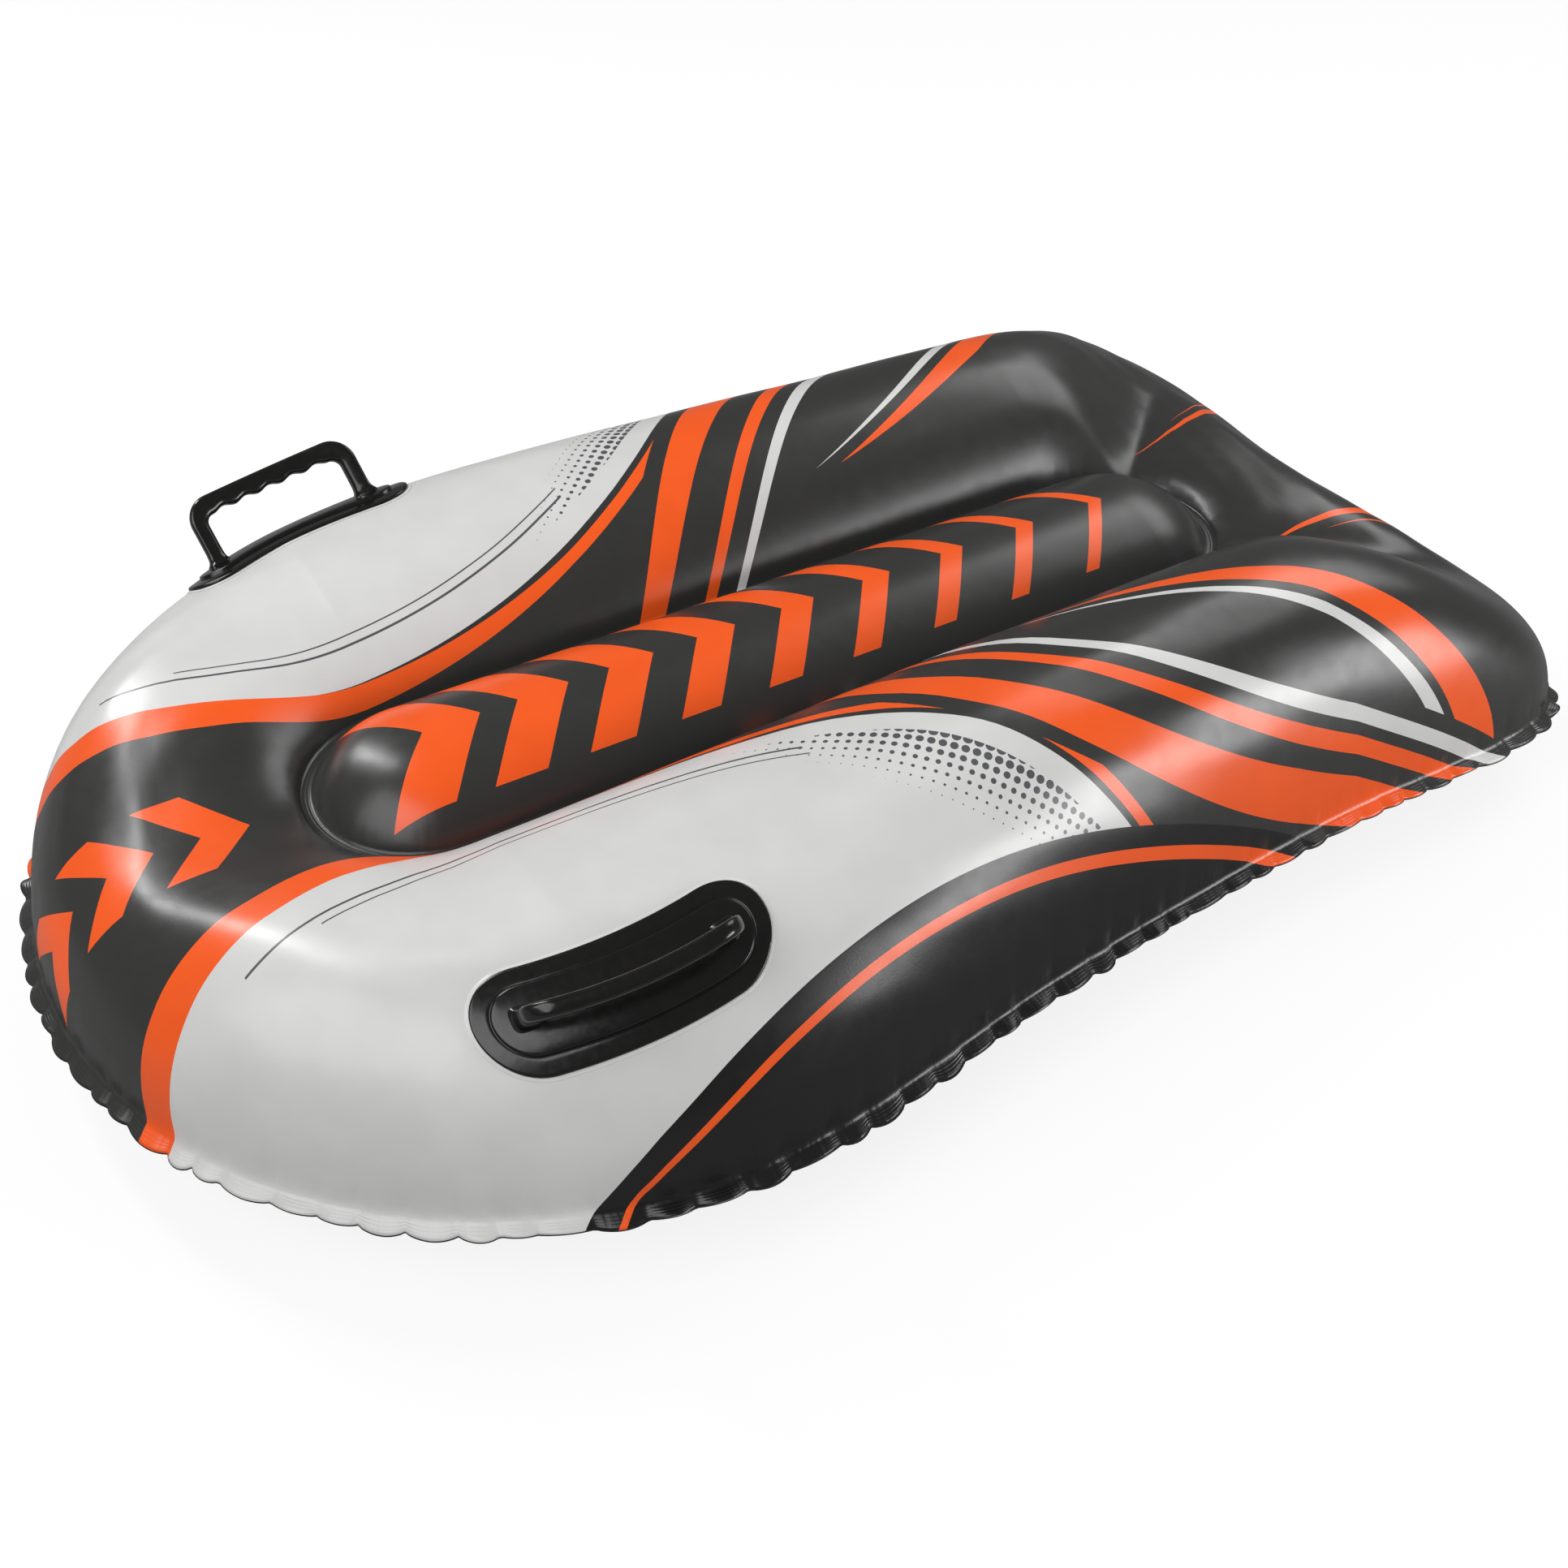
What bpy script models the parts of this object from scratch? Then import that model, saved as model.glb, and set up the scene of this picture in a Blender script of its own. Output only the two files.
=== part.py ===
"""Inflatable toboggan sled: two welded sheets, a central pillow, two moulded handles and an air valve.

Metres, +Z up. The sled rests on its bottom sheet at z = 0, with its nose along -Y and its middle at x = 0.
Both sheets are lofted along spokes, which run from the pillow's middle line out to the weld seam.
"""

import math
from typing import NamedTuple

import bmesh
import bpy
import numpy as np
from mathutils import Matrix, Vector

# Whole sled
SEAM_LENGTH = 1.236
SEAM_WIDTH = 0.785
CREST_HEIGHT = 0.243
SEAM_HEIGHT = 0.070
WELD_FLANGE = 0.0115
SHEET = 0.0006
TOUCH_GAP = 0.0003

# Stations round one half of the seam, from the middle of the nose to the middle of the rear.
# Each gives shares of the seam length, of half the seam width and of the crest height.
STATION_SHARES = (
    (0.000, 0.00, 0.71),
    (0.040, 0.49, 0.81),
    (0.142, 0.84, 0.84),
    (0.279, 1.00, 0.90),
    (0.483, 0.925, 0.99),
    (0.650, 0.86, 1.00),
    (0.804, 0.83, 0.99),
    (0.924, 0.83, 0.87),
    (0.978, 0.78, 0.74),
    (1.000, 0.675, 0.68),
    (0.995, 0.48, 0.70),
    (0.971, 0.00, 0.735),
)

# Ring tube and pillow
NOSE_TUBE = 0.2075
REAR_TUBE = 0.1465
PILLOW_WIDTH = 0.186
PILLOW_HEIGHT = 0.197
VALLEY_HEIGHT = 0.152
WELD_LINE = 0.008
CREST_SHARE = 0.526
ROUND_SHARE = 0.5523
UPRIGHT = math.radians(90)
VALLEY_SLOPE = math.radians(68)
PILLOW_SLOPE = math.radians(62)

# Underside
FLOOR_OUTER_SHARE = 0.50
FLOOR_INNER_SHARE = 0.30
GROOVE_HEIGHT = 0.014
GROOVE_SLOPE = math.radians(40)
KEEL_HEIGHT = 0.003

# Inner web
WEB_SHEET = 0.0005
WEB_INSET = 0.0015
WEB_FLANGE = 0.005
VENT_DIAMETER = 0.030
VENT_PITCH = 0.220
VENT_COUNT = 3

# Handles: the plate is a bowed stadium that lies on the shoulder, and the grip leans outward on it
HANDLE_FROM_NOSE = 0.319
HANDLE_RISE_SHARE = 0.725
HANDLE_YAW = math.radians(3)
HANDLE_LEAN = math.radians(13)
PLATE_LENGTH = 0.206
PLATE_WIDTH = 0.076
PLATE_BOW = 0.007
PLATE_THICKNESS = 0.0022
PATCH_BORDER = 0.0025
PATCH_THICKNESS = 0.0006
STEP_LENGTH = 0.181
STEP_WIDTH = 0.049
STEP_HEIGHT = 0.0022
GRIP_LENGTH = 0.152
GRIP_HEIGHT = 0.053
GRIP_BAR = 0.0155
GRIP_LEG = 0.0125
GRIP_THICKNESS = 0.0125
GRIP_ROUNDING = 0.003
GRIP_OUTER_RADIUS = 0.021
GRIP_INNER_RADIUS = 0.008
FINGER_PITCH = 0.0216
FINGER_DEPTH = 0.0028
FINGER_COUNT = 5
FOOT_REACH = 0.016
FOOT_SEAT = 0.0008

# Air valve on the rear wall, with its own z = 0 on the skin
VALVE_RISE_SHARE = 0.27
VALVE_FLANGE_DIAMETER = 0.048
VALVE_FLANGE_THICKNESS = 0.0012
NECK_DIAMETER = 0.025
NECK_BORE = 0.0195
NECK_TOP = 0.0045
NECK_DEPTH = 0.012
COLLAR_DIAMETER = 0.024
COLLAR_THICKNESS = 0.0016
SPIGOT_DIAMETER = 0.0165
SPIGOT_HEIGHT = 0.0026
INSERT_BORE = 0.0112
SEAT_BORE = 0.0090
SEAT_THICKNESS = 0.0016
FLAP_DIAMETER = 0.0125
FLAP_THICKNESS = 0.0008
FLAP_TAB_WIDTH = 0.0035
FLAP_TAB_THICKNESS = 0.0006
FLAP_TAB_END = 0.0078
HINGE_OVERHANG = 0.0003
STRAP_RING_WALL = 0.0022
STRAP_THICKNESS = 0.0012
STRAP_WIDTH = 0.005
STRAP_END = 0.0165
STRIP_THICKNESS = 0.0009
BLOCK_LENGTH = 0.0028
BLOCK_WIDTH = 0.0056
CAP_DIAMETER = 0.0215
CAP_THICKNESS = 0.003
LUG_THICKNESS = 0.0022
PLUG_LENGTH = 0.0024
FINE_CLEARANCE = 0.0004

# Fineness of the meshes, and how far a cut runs past what it cuts
SPOKES = 40
SPLINE_STEPS = 64
OUTER_STEPS = 6
INNER_STEPS = 4
PILLOW_STEPS = 3
FLOOR_STEPS = 4
GROOVE_STEPS = 1
KEEL_STEPS = 2
ARC_STEPS = 6
STADIUM_STEPS = 12
SIDE_STEPS = 6
FINGER_STEPS = 6
TURNED_STEPS = 26
FLANGE_STEPS = 50
VENT_STEPS = 16
SHELL_SPAN = 5
CUT_OVERRUN = 0.030
MERGE = 0.00001


class Spoke(NamedTuple):
    """One line from the pillow's middle line out to the seam, seen from above."""

    hub: Vector
    direction: Vector
    reach: float
    crest: float

    def point(self, place):
        """Return the point at a distance along the spoke and a height, given as a pair."""
        distance, height = place
        return self.hub + self.direction * distance + Vector((0, 0, height))

    def mirrored(self):
        """Return the same spoke on the other side of the sled."""
        direction = Vector((-self.direction.x, self.direction.y, 0))
        return Spoke(self.hub, direction, self.reach, self.crest)


def closed_spline(stations):
    """Return fine points on a smooth closed curve through the stations, spaced by their distances."""
    following = np.roll(stations, -1, axis=0)
    steps = np.linalg.norm(following[:, :2] - stations[:, :2], axis=1)[:, None]
    slopes = (following - stations) / steps
    count = len(stations)
    system = np.zeros((count, count))
    for row in range(count):
        system[row, row - 1] += steps[row - 1, 0]
        system[row, row] += 2 * (steps[row - 1, 0] + steps[row, 0])
        system[row, (row + 1) % count] += steps[row, 0]
    bends = np.linalg.solve(system, 6 * (slopes - np.roll(slopes, 1, axis=0)))
    after = np.linspace(0, 1, SPLINE_STEPS, endpoint=False)[None, :, None]
    before = 1 - after
    curve = before * stations[:, None] + after * following[:, None]
    bulge = (before**3 - before) * bends[:, None] + (after**3 - after) * np.roll(bends, -1, axis=0)[:, None]
    curve = curve + bulge * steps[:, None] ** 2 / 6
    return curve.reshape(-1, stations.shape[1])


def half_seam():
    """Return the seam's right half as fine points of x, y and crest height, from nose to rear."""
    shares = np.array(STATION_SHARES)
    half = shares[:, [1, 0, 2]]
    other = half[-2:0:-1] * (-1, 1, 1)
    real = np.vstack((half, other)) * (SEAM_WIDTH / 2, SEAM_LENGTH, CREST_HEIGHT)
    curve = closed_spline(real)
    widest = np.abs(curve[:, 0]).max()
    first, last = curve[:, 1].min(), curve[:, 1].max()
    curve[:, 0] *= SEAM_WIDTH / 2 / widest
    curve[:, 1] = (curve[:, 1] - (first + last) / 2) * SEAM_LENGTH / (last - first)
    return curve[: SPLINE_STEPS * (len(shares) - 1) + 1]


def seam_run(seam):
    """Return the distance along the seam at each of its points, from the middle of the nose."""
    steps = np.linalg.norm(np.diff(seam[:, :2], axis=0), axis=1)
    return np.concatenate(([0], np.cumsum(steps)))


def hub_ends(seam):
    """Return where the pillow's middle line starts and ends along Y."""
    front = seam[0, 1] + NOSE_TUBE + PILLOW_WIDTH / 2
    rear = seam[-1, 1] - REAR_TUBE - PILLOW_WIDTH / 2
    return front, rear


def centred(seam):
    """Return the seam moved along Y so that the flange's edge lies evenly about the origin."""
    lengths = seam_run(seam)
    run = np.linspace(0, lengths[-1], SPOKES + 1)
    x, y = (np.interp(run, lengths, seam[:, axis]) for axis in range(2))
    rise = y - np.clip(y, *hub_ends(seam))
    edge = y + WELD_FLANGE * rise / np.hypot(x, rise)
    seam[:, 1] -= (edge.min() + edge.max()) / 2
    return seam


SEAM = centred(half_seam())
SEAM_RUN = seam_run(SEAM)
FRONT_HUB, REAR_HUB = hub_ends(SEAM)


def ring_spoke(place):
    """Return the spoke at a place round the seam: 0 at the nose, SPOKES at the rear, then back."""
    if place > SPOKES:
        return ring_spoke(2 * SPOKES - place).mirrored()
    run = SEAM_RUN[-1] * place / SPOKES
    x, y, crest = (float(np.interp(run, SEAM_RUN, SEAM[:, axis])) for axis in range(3))
    hub = Vector((0, min(max(y, FRONT_HUB), REAR_HUB), 0))
    line = Vector((x, y, 0)) - hub
    return Spoke(hub, line.normalized(), line.length, crest)


def flank(foot, top, slope, share):
    """Return the place at a share of the way up a bulging flank, from its sloped foot to its level top."""
    run = top[0] - foot[0]
    climb = top[1] - foot[1]
    lean = math.copysign(abs(climb) / math.tan(slope), run)
    handles = (
        foot,
        (foot[0] + ROUND_SHARE * lean, foot[1] + ROUND_SHARE * climb),
        (top[0] - ROUND_SHARE * run, top[1]),
        top,
    )
    left = 1 - share
    weights = (left**3, 3 * left**2 * share, 3 * left * share**2, share**3)
    return tuple(sum(weight * handle[axis] for weight, handle in zip(weights, handles)) for axis in range(2))


def flank_places(foot, top, slope, steps):
    """Return the places up a flank, both ends included."""
    return [flank(foot, top, slope, step / steps) for step in range(steps + 1)]


def ring_distance(spoke, share):
    """Return the distance along a spoke at a share of the ring tube's width, from the pillow's weld line."""
    return PILLOW_WIDTH / 2 + (spoke.reach - PILLOW_WIDTH / 2) * share


def top_marks(spoke):
    """Return the seam and crest places of the top sheet on one spoke."""
    seam = (spoke.reach, SEAM_HEIGHT + TOUCH_GAP / 2 + SHEET)
    crest = (ring_distance(spoke, CREST_SHARE), spoke.crest)
    return seam, crest


def top_section(spoke):
    """Return the top sheet's places along one spoke, from the flange's edge to the pillow's middle."""
    seam, crest = top_marks(spoke)
    valley = (PILLOW_WIDTH / 2, VALLEY_HEIGHT)
    edge = (PILLOW_WIDTH / 2 - WELD_LINE, VALLEY_HEIGHT)
    outer = flank_places(seam, crest, UPRIGHT, OUTER_STEPS)
    inner = flank_places(valley, crest, VALLEY_SLOPE, INNER_STEPS)
    pillow = flank_places(edge, (0, PILLOW_HEIGHT), PILLOW_SLOPE, PILLOW_STEPS)
    return [(seam[0] + WELD_FLANGE, seam[1])] + outer + inner[-2::-1] + pillow


def bottom_section(spoke):
    """Return the bottom sheet's places along one spoke, from the pillow's middle to the flange's edge."""
    seam = (spoke.reach, SEAM_HEIGHT - TOUCH_GAP / 2 - SHEET)
    floor_outer = (ring_distance(spoke, FLOOR_OUTER_SHARE), 0)
    floor_inner = (ring_distance(spoke, FLOOR_INNER_SHARE), 0)
    groove = (PILLOW_WIDTH / 2, GROOVE_HEIGHT)
    edge = (PILLOW_WIDTH / 2 - WELD_LINE, GROOVE_HEIGHT)
    keel = flank_places(edge, (0, KEEL_HEIGHT), GROOVE_SLOPE, KEEL_STEPS)
    inner = flank_places(groove, floor_inner, GROOVE_SLOPE, GROOVE_STEPS)
    outer = flank_places(seam, floor_outer, UPRIGHT, FLOOR_STEPS)
    return keel[::-1] + inner + outer[::-1] + [(seam[0] + WELD_FLANGE, seam[1])]


def web_section(spoke):
    """Return the inner web's places, from the edge of its lower flange to the edge of its upper one."""
    wall = PILLOW_WIDTH / 2 - WEB_INSET
    low = GROOVE_HEIGHT + SHEET + TOUCH_GAP
    high = VALLEY_HEIGHT - SHEET - TOUCH_GAP
    return [(wall - WEB_FLANGE, low), (wall, low), (wall, high), (wall - WEB_FLANGE, high)]


def clear_scene():
    """Remove every object of the open scene."""
    for thing in list(bpy.data.objects):
        bpy.data.objects.remove(thing, do_unlink=True)


def new_collection(name):
    """Return a new collection, linked to the scene."""
    collection = bpy.data.collections.new(name)
    bpy.context.scene.collection.children.link(collection)
    return collection


def finish(name, colour, roughness):
    """Return a plain plastic material of one colour and roughness."""
    material = bpy.data.materials.new(name)
    material.use_nodes = True
    shader = material.node_tree.nodes["Principled BSDF"]
    shader.inputs["Base Color"].default_value = (*colour, 1)
    shader.inputs["Roughness"].default_value = roughness
    shader.inputs["Metallic"].default_value = 0
    return material


def place_mesh(name, mesh, collection, frame=None):
    """Return a new object that shows a mesh at a frame, smooth where its faces turn gently."""
    mesh.shade_smooth()
    mesh.set_sharp_from_angle(angle=math.radians(40))
    thing = bpy.data.objects.new(name, mesh)
    thing.matrix_world = frame or Matrix.Identity(4)
    collection.objects.link(thing)
    return thing


def loft(name, spokes, section):
    """Return a mesh whose triangles join neighbouring spokes' sections, alike on both sides of the sled."""
    shape = bmesh.new()
    columns = [[shape.verts.new(spoke.point(place)) for place in section(spoke)] for spoke in spokes]
    for index in range(len(spokes) - 1):
        one, other = columns[index : index + 2]
        right = spokes[index].direction.x + spokes[index + 1].direction.x < 0
        for row in range(len(one) - 1):
            corners = [one[row], other[row], other[row + 1], one[row + 1]]
            if right:
                corners = corners[1:] + corners[:1]
            shape.faces.new((corners[0], corners[1], corners[2]))
            shape.faces.new((corners[0], corners[2], corners[3]))
    bmesh.ops.remove_doubles(shape, verts=shape.verts, dist=MERGE)
    mesh = bpy.data.meshes.new(name)
    shape.to_mesh(mesh)
    shape.free()
    return mesh


def block_mesh(name, size, centre):
    """Return a box mesh of a size about a centre."""
    shape = bmesh.new()
    bmesh.ops.create_cube(shape, size=1, matrix=Matrix.Translation(centre) @ Matrix.Diagonal((*size, 1)))
    mesh = bpy.data.meshes.new(name)
    shape.to_mesh(mesh)
    shape.free()
    return mesh


def rod_mesh(name, diameter, low, high, steps, turn=None):
    """Return a round rod along Z between two heights, turned by a matrix if one is given."""
    shape = bmesh.new()
    stand = (turn or Matrix.Identity(4)) @ Matrix.Translation((0, 0, (low + high) / 2))
    bmesh.ops.create_cone(
        shape, cap_ends=True, segments=steps, radius1=diameter / 2, radius2=diameter / 2,
        depth=high - low, matrix=stand,
    )
    mesh = bpy.data.meshes.new(name)
    shape.to_mesh(mesh)
    shape.free()
    return mesh


def outline_mesh(name, points, thickness, rounding=0):
    """Return a closed mesh of a flat outline, as thick as asked about z = 0, with rounded edges."""
    drawing = bpy.data.curves.new(name, "CURVE")
    drawing.dimensions = "2D"
    drawing.fill_mode = "BOTH"
    drawing.extrude = thickness / 2 - rounding
    drawing.bevel_depth = rounding
    drawing.bevel_resolution = 1
    drawing.offset = -rounding
    line = drawing.splines.new("POLY")
    line.points.add(len(points) - 1)
    for corner, (x, y) in zip(line.points, points):
        corner.co = (x, y, 0, 1)
    line.use_cyclic_u = True
    holder = bpy.data.objects.new(name, drawing)
    bpy.context.scene.collection.objects.link(holder)
    mesh = bpy.data.meshes.new_from_object(holder.evaluated_get(bpy.context.evaluated_depsgraph_get()))
    bpy.data.objects.remove(holder)
    shape = bmesh.new()
    shape.from_mesh(mesh)
    bmesh.ops.remove_doubles(shape, verts=shape.verts, dist=MERGE)
    bmesh.ops.recalc_face_normals(shape, faces=shape.faces)
    shape.to_mesh(mesh)
    shape.free()
    return mesh


def turned_mesh(name, profile):
    """Return the closed outline of a turned ring, a loop of radius and height pairs, for a Screw modifier."""
    shape = bmesh.new()
    ring = [shape.verts.new((radius, 0, height)) for radius, height in profile]
    for one, other in zip(ring, ring[1:] + ring[:1]):
        shape.edges.new((one, other))
    mesh = bpy.data.meshes.new(name)
    shape.to_mesh(mesh)
    shape.free()
    return mesh


def arc(centre, radius, start, end, steps):
    """Return points on an arc between two angles in degrees, both ends included."""
    angles = (math.radians(start + (end - start) * step / steps) for step in range(steps + 1))
    return [(centre[0] + radius * math.cos(angle), centre[1] + radius * math.sin(angle)) for angle in angles]


def bowed_stadium(length, width):
    """Return the outline of a bar with round ends along X, with its middle bowed towards the seam."""
    straight = (length - width) / 2
    side = [straight * (1 - 2 * step / SIDE_STEPS) for step in range(1, SIDE_STEPS)]
    outline = arc((straight, 0), width / 2, -90, 90, STADIUM_STEPS) + [(x, width / 2) for x in side]
    outline += [(-x, -y) for x, y in outline]
    return [(x, y + PLATE_BOW * ((2 * x / PLATE_LENGTH) ** 2 - 1 / 2)) for x, y in outline]


def grip_outline():
    """Return the outline of the legs and the grip bar, with the finger grooves under the bar."""
    half = GRIP_LENGTH / 2
    outer_y = GRIP_HEIGHT - GRIP_OUTER_RADIUS
    inner_x = half - GRIP_LEG
    inner_y = GRIP_HEIGHT - GRIP_BAR
    corner_x = inner_x - GRIP_INNER_RADIUS
    corner_y = inner_y - GRIP_INNER_RADIUS
    outer = [(half, -FOOT_REACH)]
    outer += arc((half - GRIP_OUTER_RADIUS, outer_y), GRIP_OUTER_RADIUS, 0, 90, ARC_STEPS)
    outer += arc((GRIP_OUTER_RADIUS - half, outer_y), GRIP_OUTER_RADIUS, 90, 180, ARC_STEPS)
    outer += [(-half, -FOOT_REACH), (-inner_x, -FOOT_REACH)]
    left = arc((-corner_x, corner_y), GRIP_INNER_RADIUS, 180, 90, ARC_STEPS)
    right = arc((corner_x, corner_y), GRIP_INNER_RADIUS, 90, 0, ARC_STEPS)
    waves = FINGER_COUNT * FINGER_STEPS
    span = FINGER_COUNT * FINGER_PITCH
    fingers = []
    for step in range(1, waves):
        depth = FINGER_DEPTH * math.sin(math.pi * step / FINGER_STEPS) ** 2
        fingers.append((span * (step / waves - 1 / 2), inner_y + depth))
    return outer + left + fingers + right + [(inner_x, -FOOT_REACH)]


def surface_frame(place, rise_share):
    """Return a frame on the top sheet: X runs round the tube, Y up to the crest and Z out of the skin."""

    def on_skin(where, share):
        spoke = ring_spoke(where)
        seam, crest = top_marks(spoke)
        return spoke.point(flank(seam, crest, UPRIGHT, share))

    nudge = 1 / OUTER_STEPS / 4
    along = (on_skin(place + nudge, rise_share) - on_skin(place - nudge, rise_share)).normalized()
    up = on_skin(place, rise_share + nudge) - on_skin(place, rise_share - nudge)
    out = along.cross(up).normalized()
    frame = Matrix((along, out.cross(along), out)).transposed().to_4x4()
    frame.translation = on_skin(place, rise_share)
    return frame


def add_modifier(thing, kind, **settings):
    """Add a modifier of a kind, named for it, with its settings."""
    modifier = thing.modifiers.new(kind.title(), kind)
    for key, value in settings.items():
        setattr(modifier, key, value)
    return modifier


def cut(thing, other, operation):
    """Join, cut or trim an object with another one by an exact boolean."""
    add_modifier(thing, "BOOLEAN", operation=operation, solver="EXACT", object=other)


class Builder:
    """Makes the sled's pieces, and the hidden shapes that cut and complete them."""

    def __init__(self):
        self.parts = new_collection("toboggan_sled")
        self.cutters = new_collection("cutters")
        self.printed = finish("printed_sheet", (0.045, 0.045, 0.043), 0.34)
        self.dark = finish("dark_sheet", (0.012, 0.012, 0.013), 0.38)
        self.milky = finish("web_sheet", (0.55, 0.56, 0.56), 0.45)
        self.pale = finish("pale_patch", (0.62, 0.62, 0.61), 0.35)
        self.black = finish("black_moulding", (0.010, 0.010, 0.009), 0.22)
        self.clear = finish("valve_plastic", (0.30, 0.31, 0.32), 0.30)

    def part(self, name, mesh, material, frame=None):
        """Return a piece of the sled, with its material."""
        mesh.materials.append(material)
        return place_mesh(name, mesh, self.parts, frame)

    def cutter(self, name, mesh, frame=None):
        """Return a hidden shape that another piece is cut or completed with."""
        thing = place_mesh(name, mesh, self.cutters, frame)
        thing.hide_render = True
        thing.display_type = "WIRE"
        return thing

    def skins(self):
        """Make both sheets. Each is half a loft, mirrored at the sled's middle and given its thickness."""
        spokes = [ring_spoke(place) for place in range(SPOKES + 1)]
        top = self.part("top_skin", loft("top_skin", spokes, top_section), self.printed)
        bottom = self.part("bottom_skin", loft("bottom_skin", spokes, bottom_section), self.dark)
        web = self.part("inner_web", loft("inner_web", spokes, web_section), self.milky)
        for sheet, thickness in ((top, SHEET), (bottom, SHEET), (web, WEB_SHEET)):
            add_modifier(sheet, "MIRROR", merge_threshold=MERGE)
            add_modifier(sheet, "SOLIDIFY", thickness=thickness, offset=-1, use_even_offset=True)
        self.vents(web)
        return top

    def vents(self, web):
        """Cut the vent holes, in line through both long walls of the web."""
        crosswise = Matrix.Rotation(math.radians(90), 4, "Y")
        middle = Vector((0, (FRONT_HUB + REAR_HUB) / 2, (GROOVE_HEIGHT + VALLEY_HEIGHT) / 2))
        for index in range(VENT_COUNT):
            shift = Vector((0, VENT_PITCH * (index - (VENT_COUNT - 1) / 2), 0))
            reach = PILLOW_WIDTH / 2 + CUT_OVERRUN
            rod = rod_mesh("vent_cutter", VENT_DIAMETER, -reach, reach, VENT_STEPS, crosswise)
            cut(web, self.cutter(f"vent_cutter_{index + 1}", rod, Matrix.Translation(middle + shift)), "DIFFERENCE")

    def skin_shell(self, place):
        """Return the ring tube's outer faces near a place on the seam, exactly as the top sheet has them."""
        first = round(place) - SHELL_SPAN
        spokes = [ring_spoke(step) for step in range(first, first + 2 * SHELL_SPAN + 1)]

        def ring_part(spoke):
            return top_section(spoke)[1 : OUTER_STEPS + INNER_STEPS]

        return loft("skin_shell", spokes, ring_part)

    def lay_on_skin(self, thing, lift, thickness, inward=False):
        """Raise an object's open faces off the skin and give them their thickness."""
        add_modifier(thing, "DISPLACE", strength=lift, mid_level=0)
        add_modifier(thing, "SOLIDIFY", thickness=thickness, offset=-1 if inward else 1, use_even_offset=True)

    def trim_to(self, thing, outline, frame):
        """Keep only what lies within an outline that stands out of the skin."""
        prism = outline_mesh(f"{thing.name}_outline", outline, 2 * CUT_OVERRUN)
        cut(thing, self.cutter(f"{thing.name}_outline", prism, frame), "INTERSECT")

    def handle(self, side_name, place, yaw):
        """Make one handle and its weld patch at a place on the seam, turned about the skin's normal."""
        frame = surface_frame(place, HANDLE_RISE_SHARE) @ Matrix.Rotation(yaw, 4, "Z")
        plate_lift = TOUCH_GAP + PATCH_THICKNESS + TOUCH_GAP
        patch = self.part(f"handle_patch_{side_name}", self.skin_shell(place), self.pale)
        self.lay_on_skin(patch, TOUCH_GAP, PATCH_THICKNESS)
        border = 2 * PATCH_BORDER
        self.trim_to(patch, bowed_stadium(PLATE_LENGTH + border, PLATE_WIDTH + border), frame)

        handle = self.part(f"handle_{side_name}", self.skin_shell(place), self.black)
        self.lay_on_skin(handle, plate_lift, PLATE_THICKNESS)
        self.trim_to(handle, bowed_stadium(PLATE_LENGTH, PLATE_WIDTH), frame)

        step = self.cutter(f"step_{side_name}", self.skin_shell(place))
        self.lay_on_skin(step, plate_lift + PLATE_THICKNESS / 2, PLATE_THICKNESS / 2 + STEP_HEIGHT)
        self.trim_to(step, bowed_stadium(STEP_LENGTH, STEP_WIDTH), frame)
        cut(handle, step, "UNION")

        below = self.cutter(f"below_plate_{side_name}", self.skin_shell(place))
        self.lay_on_skin(below, plate_lift + FOOT_SEAT, CUT_OVERRUN, inward=True)
        upright = frame @ Matrix.Translation((0, 0, plate_lift + PLATE_THICKNESS))
        upright = upright @ Matrix.Rotation(math.radians(90) + HANDLE_LEAN, 4, "X")
        grip = self.cutter(
            f"grip_{side_name}",
            outline_mesh(f"grip_{side_name}", grip_outline(), GRIP_THICKNESS, GRIP_ROUNDING),
            upright,
        )
        cut(grip, below, "DIFFERENCE")
        cut(handle, grip, "UNION")

    def turned(self, name, profile, material, frame):
        """Make a turned ring from the closed outline of its section."""
        thing = self.part(name, turned_mesh(name, profile), material, frame)
        add_modifier(
            thing, "SCREW", steps=TURNED_STEPS, render_steps=TURNED_STEPS, use_merge_vertices=True,
            merge_threshold=MERGE,
        )
        return thing

    def carried(self, thing, carrier, frame):
        """Let an object ride on another one, with its own origin at a frame."""
        thing.parent = carrier
        thing.matrix_parent_inverse = carrier.matrix_world.inverted()
        thing.matrix_basis = frame

    def valve_base(self, top, place, frame):
        """Make the flange and neck that are welded to the rear wall, and the hole in the sheet."""
        base = self.part("valve_base", self.skin_shell(place), self.clear)
        self.lay_on_skin(base, TOUCH_GAP, VALVE_FLANGE_THICKNESS)
        disc = rod_mesh("flange_outline", VALVE_FLANGE_DIAMETER, -CUT_OVERRUN, CUT_OVERRUN, FLANGE_STEPS)
        neck = rod_mesh("neck", NECK_DIAMETER, -NECK_DEPTH, NECK_TOP, TURNED_STEPS)
        bore = rod_mesh("neck_bore", NECK_BORE, -CUT_OVERRUN, CUT_OVERRUN, TURNED_STEPS)
        opening = rod_mesh(
            "skin_opening", NECK_DIAMETER + 2 * FINE_CLEARANCE, -CUT_OVERRUN, CUT_OVERRUN, TURNED_STEPS
        )
        cut(base, self.cutter("flange_outline", disc, frame), "INTERSECT")
        cut(base, self.cutter("neck", neck, frame), "UNION")
        cut(base, self.cutter("neck_bore", bore, frame), "DIFFERENCE")
        cut(top, self.cutter("skin_opening", opening, frame), "DIFFERENCE")

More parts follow.
